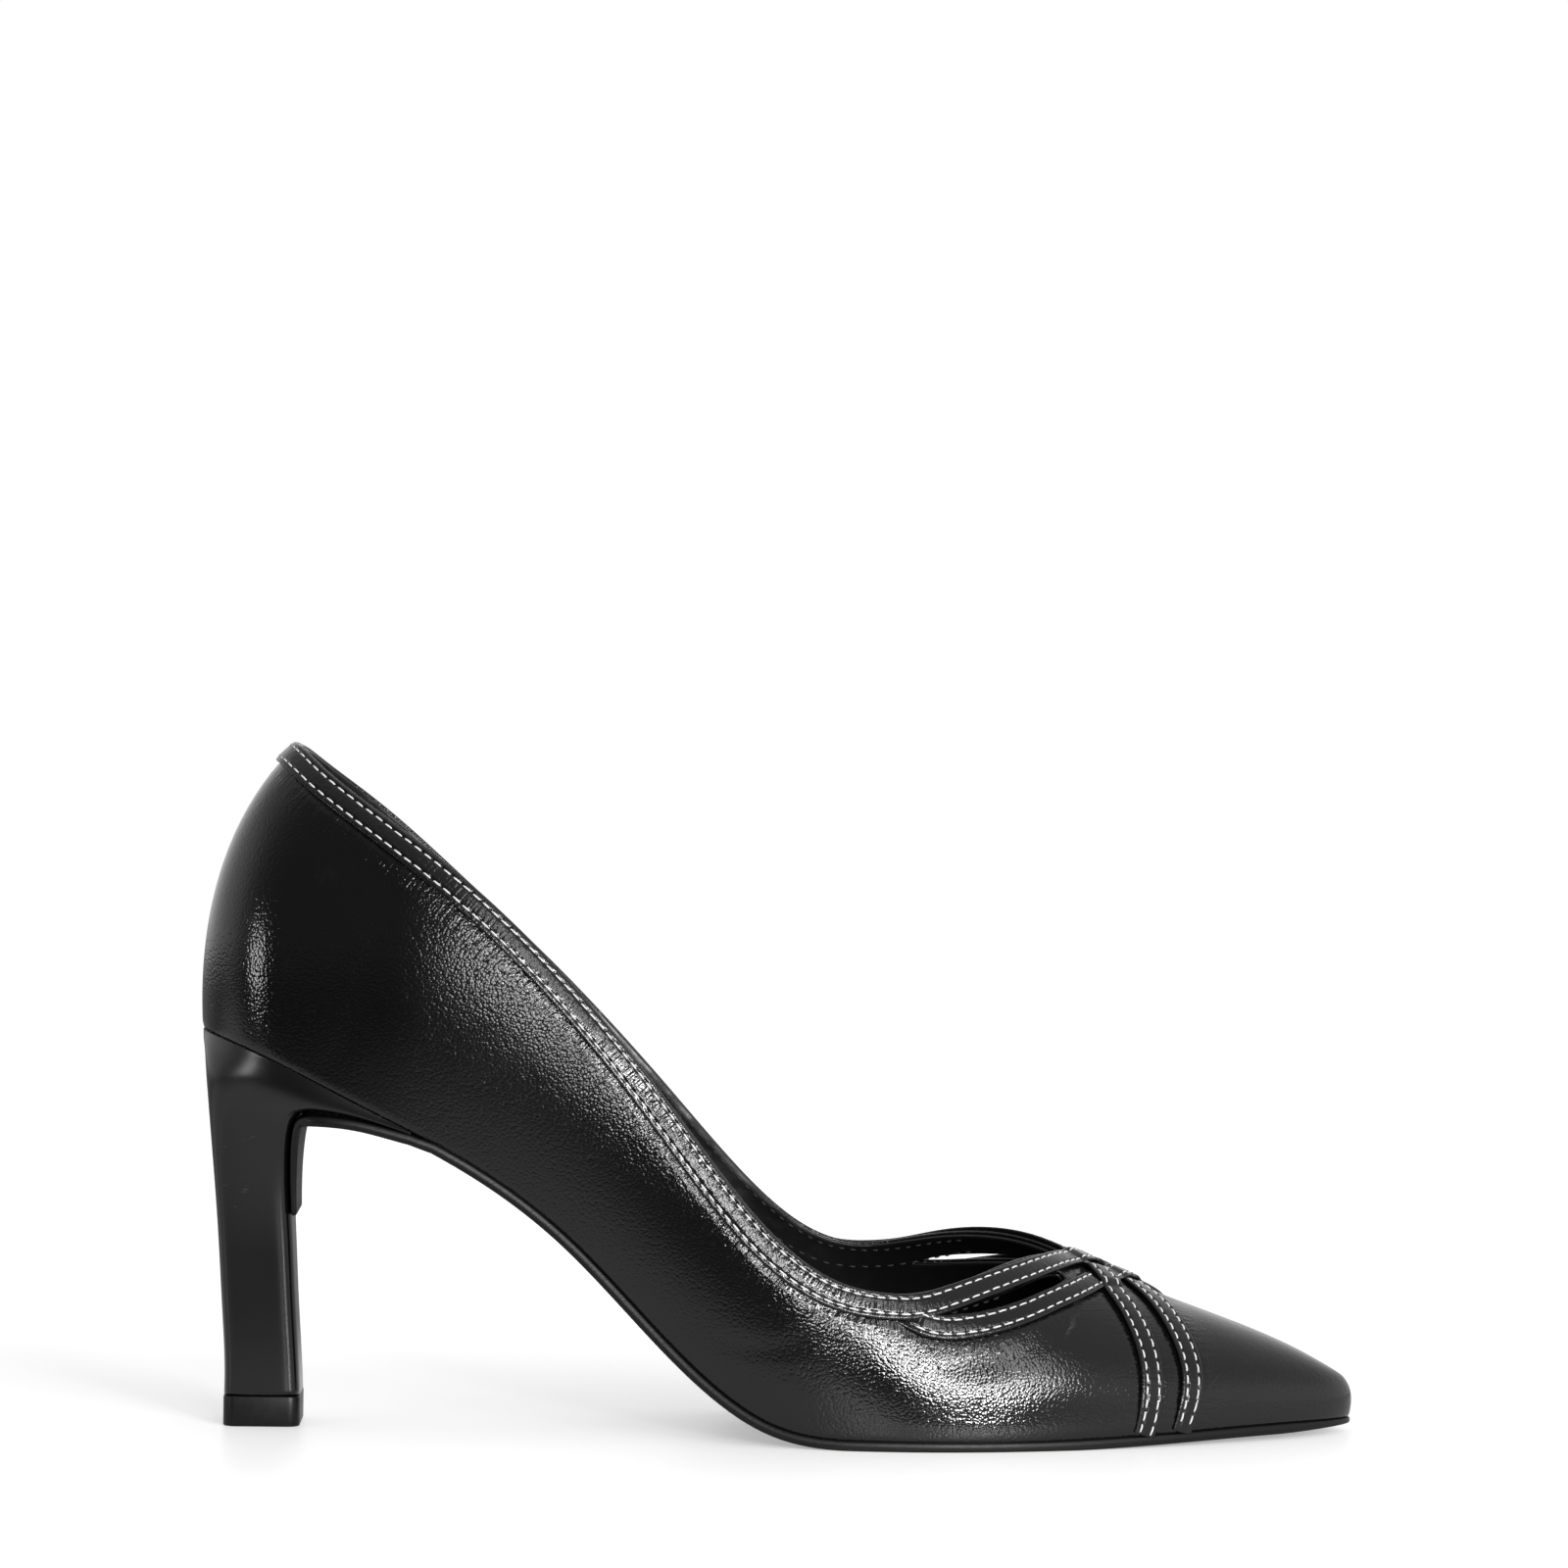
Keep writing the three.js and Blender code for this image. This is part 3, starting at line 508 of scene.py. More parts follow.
straps = {
    "thick": 1.0, "edgeRadius": 0.42, "puff": 0.07, "rise": 0.02,
    "pitch": 2.58, "stitchIn": 1.12, "groove": 0.26, "grooveHalf": 0.32, "holeShare": 0.45,
    "over": 0.75, "under": -0.2, "reach": 5.2, "ramp": 2.6, "endThin": 0.5, "endRun": 9.0,
    # a vamp strap's rear end: where it starts to thicken, over what run, how far it dips, over what run
    "tailStart": 2.0, "tailRun": 9.0, "tailDip": 0.4, "tailDipRun": 8.0,
    "courseSteps": 60, "aim": 0.4, "linesPerStitch": 7, "searchSteps": 400, "measureStep": 0.6,
    "edgeSteps": 5, "topSteps": 29, "underSteps": 5, "underIn": 0.3,
    # width of each strap at distances from its end at the sole
    "collarWidth": [(0, 4.7), (14, 4.95), (34, 5.3), (60, 5.4)],
    "vampWidth": [(0, 4.4), (14, 4.9), (30, 5.3), (60, 5.2)],
    # courses: row, share down from the crest; below zero past it
    "outerThroat": [(9.58, 0.375), (10.05, 0.16), (10.3, 0), (10.5, -0.16)],
    "innerThroat": [(9.5, 0.262), (9.95, 0.1), (10.2, 0), (10.48, -0.21)],
    "collarEnd": [(10.69, -0.375), (10.84, -0.56), (10.895, -0.735), (10.87, -0.9), (10.815, -0.997)],
    "outerVamp": [(8.25, 0.665), (8.6, 0.686), (8.95, 0.662), (9.3, 0.61), (9.6, 0.545), (9.87, 0.465),
                  (10.3, 0.285)],
    "innerVamp": [(8.2, 0.61), (8.6, 0.628), (8.95, 0.585), (9.3, 0.515), (9.6, 0.44), (9.87, 0.36),
                  (10.3, 0.205)],
    "vampEnd": [(10.7, 0), (11.02, -0.2), (11.22, -0.415), (11.335, -0.63), (11.32, -0.83), (11.23, -0.997)],
    "collarFreeRow": 9.0, "collarStep": 0.5,
    # the seam at the lower edge lies thicker under the collar strap: tilt at rows, in mm at each edge
    "tilt": [(0, 0.1), (2.0, 0.3), (3.4, 0.6), (5.2, 0.6), (5.7, 0.0), (7.3, 0.0)],
}


def crossed(spots, side):
    return [(row, side * down) for row, down in spots]


class Route:
    # a course on the last, measured along its length in mm, with strips and stitches placed beside it
    def __init__(self, spots, widths, bothEnds=False):
        self.widths, self.bothEnds = np.array(widths).T, bothEnds
        place = np.linspace(0, len(spots) - 1, straps["courseSteps"] * (len(spots) - 1) + 1)
        course = openCurve(spots)(place)
        self.row, self.across = course.T
        line = lastPoint(self.row, self.across)
        self.walked = np.concatenate([[0], np.cumsum(np.linalg.norm(np.diff(line, axis=0), axis=1))])
        self.length = self.walked[-1]
        self.lifts = []

    def fromEnd(self, s):
        # distance from the nearest end that lies at the sole
        return np.minimum(s, self.length - s) if self.bothEnds else self.length - s

    def half(self, s):
        return np.interp(self.fromEnd(s), *self.widths) / 2

    def thin(self, s):
        # share of the full thickness left where the strap runs under the sole's edge
        return 1 - (1 - straps["endThin"]) * smoothStep(1 - self.fromEnd(s) / straps["endRun"])

    def spot(self, s):
        return np.interp(s, self.walked, self.row), np.interp(s, self.walked, self.across)

    def lift(self, s):
        total = np.zeros_like(s)
        for centre, height in self.lifts:
            total += height * smoothStep((straps["reach"] - np.abs(s - centre)) / straps["ramp"])
        return total

    def place(self, s, x, h):
        # point at a distance along, a distance sideways in the surface, and a height above the last
        s, x, h = np.broadcast_arrays(s, x, h)
        row, across = self.spot(s)
        if self.bothEnds:
            tilt = np.interp(np.abs(row), *np.array(straps["tilt"]).T) / self.half(s)
            h = h - np.where(h > straps["thick"] / 2, tilt * x, 0)
        ahead, behind = (lastPoint(*self.spot(np.clip(s + sign * straps["aim"], 0, self.length)))
                         for sign in (1, -1))
        sideways = unit(np.cross(lastNormal(row, across), ahead - behind))
        row, across = moved(row, across, sideways * x[..., None])
        return raised(row, across, h + self.lift(s))


def collarSide(side):
    # the topline moved down by half the strap's width, from near the back to a little before the throat
    row = np.arange(straps["collarStep"] / 2, straps["collarFreeRow"], straps["collarStep"])
    across = side * topline(row, side)
    forward = lastPoint(row + small, side * topline(row + small, side)) - lastPoint(row, across)
    down = unit(np.cross(forward, lastNormal(row, across))) * (-side * straps["collarWidth"][-1][1] / 2)
    row, across = moved(row, across, down)
    throat = straps["outerThroat"] if side < 0 else straps["innerThroat"]
    return list(zip(row, across)) + crossed(throat + straps["collarEnd"], side)


aroundBack = [(-row, -across) for row, across in reversed(collarSide(1))]
collarRoute = Route(aroundBack + collarSide(-1), straps["collarWidth"], True)
outerRoute = Route(crossed(straps["outerVamp"] + straps["vampEnd"], -1), straps["vampWidth"])
innerRoute = Route(crossed(straps["innerVamp"] + straps["vampEnd"], 1), straps["vampWidth"])


def crossing(first, firstRange, second, secondRange):
    # the two distances along at which two courses come nearest
    a = np.linspace(*firstRange, straps["searchSteps"])
    b = np.linspace(*secondRange, straps["searchSteps"])
    gaps = np.linalg.norm(first.place(a, 0.0, 0.0)[:, None] - second.place(b, 0.0, 0.0)[None], axis=-1)
    i, j = np.unravel_index(gaps.argmin(), gaps.shape)
    return a[i], b[j]


def weave(over, overRange, under, underRange):
    a, b = crossing(over, overRange, under, underRange)
    over.lifts.append((a, straps["over"]))
    under.lifts.append((b, straps["under"]))
    return a, b


full = collarRoute.length
legs, vampFree = 75.0, 20.0
nearLeg, farLeg = (full - legs, full), (0.0, legs)
outerRange, innerRange = ((vampFree, route.length) for route in (outerRoute, innerRoute))
weave(collarRoute, nearLeg, collarRoute, farLeg)
weave(outerRoute, outerRange, innerRoute, innerRange)
hiddenOuter = weave(collarRoute, farLeg, outerRoute, outerRange)
hiddenInner = weave(innerRoute, innerRange, collarRoute, nearLeg)


def stripProfile(half, phase):
    # across a strap, for each half-width: a puffed top with a groove along each row of stitches, deeper at
    # the needle holes, rounded edges and a flat underside; gives places sideways and heights
    r, t = straps["edgeRadius"], straps["thick"]
    turn = np.linspace(0, np.pi / 2, straps["edgeSteps"])[:-1]
    flat = (half - r)[:, None]
    share = np.linspace(-1, 1, straps["topSteps"])
    x = np.concatenate([-flat - r * np.cos(turn), flat * share, flat + r * np.cos(turn[::-1])], 1)
    edge = t - r + r * np.sin(turn)
    top = np.concatenate([edge, t + straps["puff"] * (1 - share ** 2), edge[::-1]])
    fromLine = (np.abs(x) - (half[:, None] - straps["stitchIn"])) / straps["grooveHalf"]
    hole = straps["holeShare"]
    deep = straps["groove"] * (1 - hole + hole * np.cos(2 * np.pi * phase))[:, None]
    high = top - deep * np.exp(-fromLine ** 2)
    under = (half[:, None] - straps["underIn"]) * np.linspace(1, -1, straps["underSteps"])
    return np.concatenate([x, under], 1), np.concatenate([high, np.zeros_like(under)], 1)


def makeStrap(name, route):
    # lines across the strap at even steps along its course; both ends are closed by fans
    s = np.linspace(0, route.length, int(route.length / straps["pitch"] * straps["linesPerStitch"]))
    x, heights = stripProfile(route.half(s), s / straps["pitch"])
    heights = heights * route.thin(s)[:, None] + straps["rise"]
    if not route.bothEnds:
        # the rear end is thinned and tucked under the collar strap
        tail = smoothStep((s + straps["tailStart"]) / straps["tailRun"])[:, None]
        dip = straps["tailDip"] * (1 - smoothStep(s / straps["tailDipRun"]))[:, None]
        heights = heights * tail - dip
    rings = route.place(s[:, None], x, heights)
    lines, around = x.shape
    points = np.concatenate([rings.reshape(-1, 3), rings[[0, -1]].mean(1)])
    flat = np.stack(np.broadcast_arrays(x / 10, s[:, None] / 10), -1).reshape(-1, 2)
    strapMap = np.concatenate([flat, [[0, 0], [0, route.length / 10]]])
    faces = [gridFaces(lines, around, wrap=True), fan(0, around, len(points) - 2),
             fan((lines - 1) * around, around, len(points) - 1, flip=True)]
    makePiece(name, points, faces, finishes["strap"], ["straps"], strapMap)


makeStrap("collarStrap", collarRoute)
makeStrap("outerVampStrap", outerRoute)
makeStrap("innerVampStrap", innerRoute)
print("straps ready")

# The upper: outer leather and lining, each a closed wall with the cut-outs in it

upper = {
    "stepsPerRow": 18, "levelsBelow": 34, "levelsAbove": 10,
    "leather": 0.95, "lining": 0.8, "between": 0.05,
    "edgeRoll": 1.0, "edgeTuck": 0.2,
    "strapWidth": 5.2, "cutSteps": 90, "nearest": 0.02, "leatherBulge": 0.7, "liningBulge": 0.5,
    # cut-outs: row, share down from the crest, width as a share of the strap's width
    "outerCutout": [(8.66, 0.648, 0.06), (8.94, 0.601, 0.46), (9.23, 0.551, 0.66), (9.52, 0.477, 0.72),
                    (9.78, 0.386, 0.8), (9.98, 0.3, 0.66), (10.08, 0.252, 0.2)],
    "innerCutout": [(8.56, 0.588, 0.06), (8.86, 0.526, 0.46), (9.15, 0.465, 0.62), (9.42, 0.405, 0.7),
                    (9.68, 0.34, 0.74), (9.9, 0.27, 0.64), (10.04, 0.22, 0.2)],
    # where the two halves of each side meet away from the cut-out: row, share down
    "seamBack": [(0, 0.66), (3, 0.72), (6, 0.8), (7.4, 0.79)],
    "seamFront": [(11, 0.3), (14, 0.3)],
}

# soft troughs and ridges: side, height in mm (below zero is a trough), half-width in mm, spots of its course
creases = [
    # front edge of the stiffener
    (-1, -0.16, 2.6, [(2.6, 0.96), (2.95, 0.85), (3.15, 0.72), (3.2, 0.6)]),
    (-1, 0.1, 5.0, [(3.3, 0.95), (3.6, 0.82), (3.75, 0.68)]),
    (1, -0.16, 2.6, [(2.6, 0.96), (2.95, 0.86), (3.15, 0.74), (3.2, 0.62)]),
    # pulls below the vamp straps
    (-1, -0.1, 1.6, [(8.7, 0.8), (9.1, 0.76), (9.55, 0.7), (9.95, 0.62)]),
    (-1, 0.08, 1.8, [(8.9, 0.86), (9.35, 0.82), (9.8, 0.75)]),
    (1, -0.1, 1.6, [(8.7, 0.74), (9.1, 0.7), (9.5, 0.63), (9.85, 0.55)]),
    # feather line over the sole
    (-1, 0.12, 1.3, [(8.2, 0.955), (9.4, 0.955), (10.6, 0.95), (11.8, 0.94)]),
    (1, 0.12, 1.3, [(8.2, 0.955), (9.4, 0.955), (10.6, 0.95), (11.8, 0.94)]),
    # hollow of the waist
    (-1, -0.14, 2.2, [(6.4, 0.93), (6.9, 0.88), (7.4, 0.82)]),
    (1, -0.14, 2.2, [(6.3, 0.93), (6.8, 0.86), (7.3, 0.8)]),
]
creaseSteps = 40


def relief(points):
    # sum of height * exp(-(distance / width)^2) over the creases, each faded out at its two ends
    total = np.zeros(points.shape[:-1])
    for side, height, width, spots in creases:
        course = openCurve(crossed(spots, side))(np.linspace(0, len(spots) - 1, creaseSteps))
        line = lastPoint(course[:, 0], course[:, 1])
        fade = np.sin(np.pi * np.linspace(0.06, 0.94, creaseSteps)) ** 0.6
        distance = np.linalg.norm(points[..., None, :] - line, axis=-1)
        nearest = distance.argmin(-1)
        total += height * fade[nearest] * np.exp(-(distance.min(-1) / width) ** 2)
    return total


def cutEdges(spots, side):
    # lower and upper edge of a cut-out: its middle line moved across by half its width either way
    table = np.array(spots)
    place = np.linspace(0, len(table) - 1, upper["cutSteps"])
    row, down, width = (openCurve(table[:, k])(place) for k in range(3))
    across = side * down
    step = 0.01
    ahead = lastPoint(openCurve(table[:, 0])(place + step), side * openCurve(table[:, 1])(place + step))
    sideways = unit(np.cross(lastNormal(row, across), ahead - lastPoint(row, across)))
    reach = (width * upper["strapWidth"] / 2)[:, None]
    edges = [moved(row, across, sideways * reach * sign) for sign in (-1, 1)]
    edges = [(r, np.abs(a)) for r, a in edges]
    lower, higher = sorted(edges, key=lambda edge: -edge[1].mean())
    return lower, higher


def upperGrid(side):
    # stations along the side, with one at each end of the cut-out, and the two shares where the side is cut
    spots = upper["outerCutout" if side < 0 else "innerCutout"]
    lower, higher = cutEdges(spots, side)
    start = max(lower[0].min(), higher[0].min())
    end = min(lower[0].max(), higher[0].max())
    rows = np.linspace(0, toeRow, toeRow * upper["stepsPerRow"] + 1)
    apart = np.minimum(abs(rows - start), abs(rows - end)) > upper["nearest"]
    rows = np.sort(np.concatenate([rows[apart], [start, end]]))
    ends = [(place, np.interp(place, *lower)) for place in (start, end)]
    middle = np.array(upper["seamBack"] + ends + upper["seamFront"])
    seam = np.interp(rows, middle[:, 0], middle[:, 1])
    inside = (rows > start + small) & (rows < end - small)
    low = np.where(inside, np.interp(rows, *lower), seam)
    high = np.where(inside, np.interp(rows, *higher), seam)
    return rows, low, high


def wallSheet():
    # spots of the wall on both sides, with their faces, welded where they meet
    faces, spots, base = [], [], 0
    for side in (-1, 1):
        rows, low, high = upperGrid(side)
        top = topline(rows, side)
        parts = [(np.ones_like(rows), low, upper["levelsBelow"]), (high, top, upper["levelsAbove"])]
        for first, final, levels in parts:
            share = np.linspace(0, 1, levels + 1)
            down = first[:, None] + (final - first)[:, None] * share
            row = np.broadcast_to(rows[:, None], down.shape)
            across = side * down
            spots.append(np.stack([row, across], -1).reshape(-1, 2))
            faces.append(gridFaces(len(rows), levels + 1, base, flip=side > 0))
            base += down.size
    spots = np.concatenate(spots)
    ground = lastPoint(spots[:, 0], spots[:, 1])
    _, quads, triangles, first = welded(ground, np.concatenate(faces))
    return spots[first], quads, triangles


def beyondStraps(points):
    # how far each point lies outside the nearest strap's edge, and the distance along the collar strap
    nearest, along = np.full(len(points), np.inf), None
    for route in (collarRoute, outerRoute, innerRoute):
        s = np.arange(0, route.length, straps["measureStep"])
        line = lastPoint(*route.spot(s))
        squares = (points ** 2).sum(1)[:, None] + (line ** 2).sum(1) - 2 * points @ line.T
        closest = squares.argmin(1)
        distance = np.sqrt(np.maximum(squares.min(1), 0)) - route.half(s)[closest]
        nearest = np.minimum(nearest, distance)
        along = s[closest] if along is None else along
    return nearest, along


def makeUpper():
    spots, quads, triangles = wallSheet()
    row, across = spots.T
    ground, normal = lastPoint(row, across), lastNormal(row, across)
    foot = lastPoint(row, np.where(across < 0, -1.0, 1.0))
    near = np.clip(1 - np.linalg.norm(ground - foot, axis=1) / upper["edgeRoll"], 0, 1)
    height = relief(ground) - upper["edgeTuck"] * near ** 2
    outer = ground + normal * height[:, None]
    under = ground - normal * upper["leather"]
    points, faces = shell(outer, under, quads, triangles, upper["leatherBulge"])
    edgeDistance, collarAlong = beyondStraps(points)
    makePiece("upperLeather", points, faces, finishes["leather"], ["upper"],
              distances={"edgeDistance": edgeDistance, "collarAlong": collarAlong})
    start = upper["leather"] + upper["between"]
    front = ground - normal * start
    back = ground - normal * (start + upper["lining"])
    points, faces = shell(front, back, quads, triangles, upper["liningBulge"])
    makePiece("upperLining", points, faces, finishes["lining"], ["upper"])


makeUpper()
print("upper ready")


stitches = {
    "length": 2.0, "radius": 0.2, "around": 6,
    # share along the stitch, share of the full radius, height of its middle over the groove
    "shape": [(0.0, 0.45, -0.16), (0.1, 0.85, 0.06), (0.3, 1.0, 0.17), (0.5, 1.0, 0.2), (0.7, 1.0, 0.17),
              (0.9, 0.85, 0.06), (1.0, 0.45, -0.16)],
    "hidden": 3.6, "liningLength": 1.3, "liningRadius": 0.18, "first": 0.29, "sunk": 0.03, "tucked": [0.0, 2.5],
    "uneven": 0.05, "aslant": 0.06, "clear": 6.0, "liningRows": (1.1, 5.1),
}


def stitchRow(place, starts, length, radius, seed):
    # one short thread from hole to hole for each start: rings of radius r around a line that dips at its ends
    rng = np.random.default_rng(seed)
    share, wide, high = np.array(stitches["shape"]).T
    n, m, a = len(starts), len(share), stitches["around"]
    uneven, aslant = stitches["uneven"], stitches["aslant"]
    long = length * (1 + rng.uniform(-uneven, uneven, n))
    s = starts[:, None] + (length - long[:, None]) / 2 + long[:, None] * share
    x = rng.uniform(-uneven, uneven, n)[:, None] + rng.uniform(-aslant, aslant, n)[:, None] * (share - 0.5)
    spine = place(s, x, high[None, :] * radius / stitches["radius"])
    lifted = place(s, x, high[None, :] * radius / stitches["radius"] + 0.1)
    up = unit(lifted - spine)
    run = unit(np.gradient(spine, axis=1))
    side = unit(np.cross(run, up))
    turn = 2 * np.pi * np.arange(a) / a
    ring = side[:, :, None] * np.cos(turn)[:, None] + up[:, :, None] * np.sin(turn)[:, None]
    points = spine[:, :, None] + ring * (wide * radius)[:, None, None]
    points = points.reshape(n, m * a, 3)
    quads = gridFaces(m, a, 0, flip=True, wrap=True)
    fan = np.array([[0, k, k + 1] for k in range(1, a - 1)])
    caps = np.concatenate([fan, (m - 1) * a + fan[:, ::-1]])
    base = (np.arange(n) * m * a)[:, None, None]
    return points.reshape(-1, 3), (quads + base).reshape(-1, 4), (caps + base).reshape(-1, 3)


def joinedRows(rows):
    points, quads, triangles, base = [], [], [], 0
    for p, q, t in rows:
        points.append(p)
        quads.append(q + base)
        triangles.append(t + base)
        base += len(p)
    return np.concatenate(points), [np.concatenate(quads), np.concatenate(triangles)]


def strapRows(route, hidden, seed):
    # both rows of a strap's stitches, left out where another strap lies over them
    starts = np.arange(stitches["first"], route.length - straps["pitch"], straps["pitch"])
    for centre in hidden:
        starts = starts[np.abs(starts + stitches["length"] / 2 - centre) > stitches["hidden"]]
    floor = straps["rise"] + straps["thick"] - straps["groove"] + stitches["sunk"]

    def beside(sign):
        def place(s, x, h):
            return route.place(s, sign * (route.half(s) - straps["stitchIn"]) + x, floor * route.thin(s) + h)
        return place

    return [stitchRow(beside(sign), starts, stitches["length"], stitches["radius"], seed + sign)
            for sign in (-1, 1)]


selfUnder = crossing(collarRoute, nearLeg, collarRoute, farLeg)[1]
vampUnder = crossing(outerRoute, outerRange, innerRoute, innerRange)[1]
rows = strapRows(collarRoute, [selfUnder, hiddenInner[1]], 11)
rows += strapRows(outerRoute, [hiddenOuter[1]] + stitches["tucked"], 21)
rows += strapRows(innerRoute, [vampUnder] + stitches["tucked"], 31)
points, faces = joinedRows(rows)
makePiece("strapStitches", points, faces, finishes["thread"], ["straps"])


def liningRow(down, seed):
    # the same seam seen inside: short threads on the lining, a distance below the collar's edge
    wall = upper["leather"] + upper["between"] + upper["lining"]
    s = np.arange(legs + stitches["clear"], full - legs - stitches["clear"], straps["pitch"])
    offset = collarRoute.half(full / 2) - down
    return stitchRow(lambda s, x, h: collarRoute.place(s, offset + x, -wall - h), s, stitches["liningLength"],
                     stitches["liningRadius"], seed)


points, faces = joinedRows([liningRow(d, 41 + k) for k, d in enumerate(stitches["liningRows"])])
makePiece("liningStitches", points, faces, finishes["liningThread"], ["upper"])
print("stitches ready")


# Heel, outsole, insole and top lift

gap = 0.3
soleSteps, soleAcross = 12, 14
heel = {"length": 15.8, "width": 18.4, "wedgeEnd": 44.5, "corner": 7.0, "archRow": 10.0, "lowRing": 0.97,
        "steps": 8, "around": 56}
# inset and height of each of the lift's rings
lift = {"height": 6.3, "corner": 2.4, "turns": 9,
        "rings": [(0.35, 0.0), (0.1, 0.1), (0.0, 0.35), (0.0, 6.0), (0.08, 6.22), (0.3, 6.3)]}
# heel block from its base to the seat: backOut, backUp, frontOut, frontUp, wide, seated
heelRows = np.array([
    [0, 0, 0, 0, 0, 0], [-0.005, 0.1, -0.02, 0.11, 0.005, 0], [-0.13, 0.25, -0.05, 0.25, 0.02, 0],
    [-0.26, 0.4, -0.077, 0.41, 0.06, 0], [-0.4, 0.54, -0.1, 0.55, 0.14, 0.02],
    [-0.56, 0.68, -0.1, 0.66, 0.28, 0.1], [-0.7, 0.8, -0.075, 0.735, 0.47, 0.28],
    [-0.81, 0.89, 0.01, 0.775, 0.7, 0.55], [-0.9, 0.95, 0.24, 0.78, 0.88, 0.82],
    [-0.97, 0.975, 0.6, 0.766, 0.97, 0.93], [-0.99, 0.99, 1, 0.735, 1, 0.98], [-1, 1, 1, 0.745, 1, 1]])
heelCurve = openCurve(heelRows)
footSamples = 4001
footRows = np.linspace(0, toeRow, footSamples)
footTable = lastColumns(footRows, -np.ones_like(footRows))
heelBase = lift["height"] + gap
seatBack = lastColumns(np.array(0.0), np.array(-1.0))[0] + gap
seatHalf = lastColumns(np.array(3.0), np.array(1.0))[5]


def footY(row, side):
    return lastColumns(row, np.full_like(row, side))[5]


def rowAtFoot(x):
    return np.interp(x, footTable[0], footRows)


def soleHeight(x):
    return np.interp(x, footTable[0], footTable[1])


def lerp(a, b, share):
    return a + (b - a) * share


def seatBow(x):
    # height of the seat over the straight line from its back to the end of the wedge
    share = np.clip((x - seatBack) / (heel["wedgeEnd"] - seatBack), 0, 1)
    straight = lerp(footTable[1][0], soleHeight(heel["wedgeEnd"]), share)
    return soleHeight(seatBack + share * (heel["wedgeEnd"] - seatBack)) - straight


def heelBack(level):
    shares = heelCurve(level)
    x = liftBack + shares[..., 0] * (liftBack - seatBack)
    return x, heelBase + shares[..., 1] * (last["seat"] - gap - heelBase)


def heelFront(level):
    shares = heelCurve(level)
    front = liftBack + heel["length"]
    x = front + np.minimum(shares[..., 2], 1) * (heel["wedgeEnd"] - front)
    up = heelCurve(np.minimum(level, heel["archRow"]))[..., 3]
    arch = heelBase + up * (last["seat"] - gap - heelBase)
    return x, lerp(arch, soleHeight(heel["wedgeEnd"]) - gap, np.maximum(level - heel["archRow"], 0))


def makeHeel():
    # lines around the block at rising levels: half-width (1 - |2 share - 1|^corner)^(1 / corner), which turns
    # into the outline of the seat towards the top
    levels = np.linspace(0, len(heelRows) - 1, (len(heelRows) - 1) * heel["steps"] + 1)
    shares = heelCurve(levels)
    seated = np.clip(shares[:, 5], 0, 1)[:, None]
    half = lerp(heel["width"] / 2, seatHalf, shares[:, 4])[:, None]
    share = (1 - np.cos(np.pi * np.linspace(0, 1, heel["around"])))[None, :] / 2
    backX, backZ = heelBack(levels)
    frontX, frontZ = heelFront(levels)
    x = lerp(backX[:, None], frontX[:, None], share)
    row = rowAtFoot(x)
    z = lerp(backZ[:, None], frontZ[:, None], share) + seated * seatBow(x)
    box = half * (1 - np.abs(2 * share - 1) ** heel["corner"]) ** (1 / heel["corner"])
    closed = np.ones(heel["around"])
    closed[[0, -1]] = 0
    outer = -lerp(box, -footY(row, -1), seated) * closed
    inner = lerp(box, footY(row, 1), seated) * closed
    ring = np.concatenate([np.stack([x, outer, z], -1), np.stack([x, inner, z], -1)[:, -2:0:-1]], 1)
    around = ring.shape[1]
    # a small bevel at the base: a first ring drawn in a little
    centre = ring[:1].mean(1, keepdims=True)
    drawnIn = centre + (ring[:1] - centre) * [heel["lowRing"], heel["lowRing"], 1]
    points = np.concatenate([drawnIn, ring]).reshape(-1, 3)
    # the seat is closed by quads from side to side, the base by a fan
    top = len(points) - around
    k = np.arange(heel["around"] - 1)
    lid = np.stack([top + k, top + k + 1, top + (around - k - 1) % around, top + (around - k) % around], 1)
    bottom = fan(0, around, len(points), flip=True)
    bottom = np.concatenate([bottom, bottom[:, 2:]], 1)
    faces = np.concatenate([gridFaces(len(points) // around, around, wrap=True), lid, bottom])
    points = np.concatenate([points, [points[:around].mean(0)]])
    points, quads, triangles, _ = welded(points, faces)
    makePiece("heelBlock", points, [quads, triangles], finishes["heel"], ["heel"])


def edgePoints(row, side, margin):
    # the sole edge moved outwards in plan by a margin
    def here(place):
        held = lastColumns(place, np.full_like(place, side))
        return np.stack([held[0], held[5], np.zeros_like(place)], -1)

    along = here(row + small) - here(row - small)
    out = unit(np.stack([along[:, 1], -along[:, 0], np.zeros_like(row)], -1)) * (-side * margin)
    points = here(row) + out
    points[:, 2] = lastColumns(row, np.full_like(row, side))[1]
    return points


def plateShell(outer, inner, move, bulge):
    # a plate between two edges; move gives its front and its back from the flat points between them
    share = np.linspace(0, 1, soleAcross + 1)
    flat = outer[:, None] + (inner - outer)[:, None] * share[None, :, None]
    front, back = move(flat)
    lines, steps = flat.shape[:2]
    both = np.concatenate([front.reshape(-1, 3), back.reshape(-1, 3)], 1)
    joined, quads, triangles, _ = welded(both, gridFaces(lines, steps, flip=True))
    return shell(joined[:, :3], joined[:, 3:], quads, triangles, bulge)


outsole = {"thick": 1.8, "margin": 0.1, "below": 0.05, "flapRow": 3.6, "flapThick": 0.8, "flapTaper": 4.0,
           "toeThick": 0.8, "toeTaper": 1.6, "wedgeStep": 0.25, "bulge": 0.35}


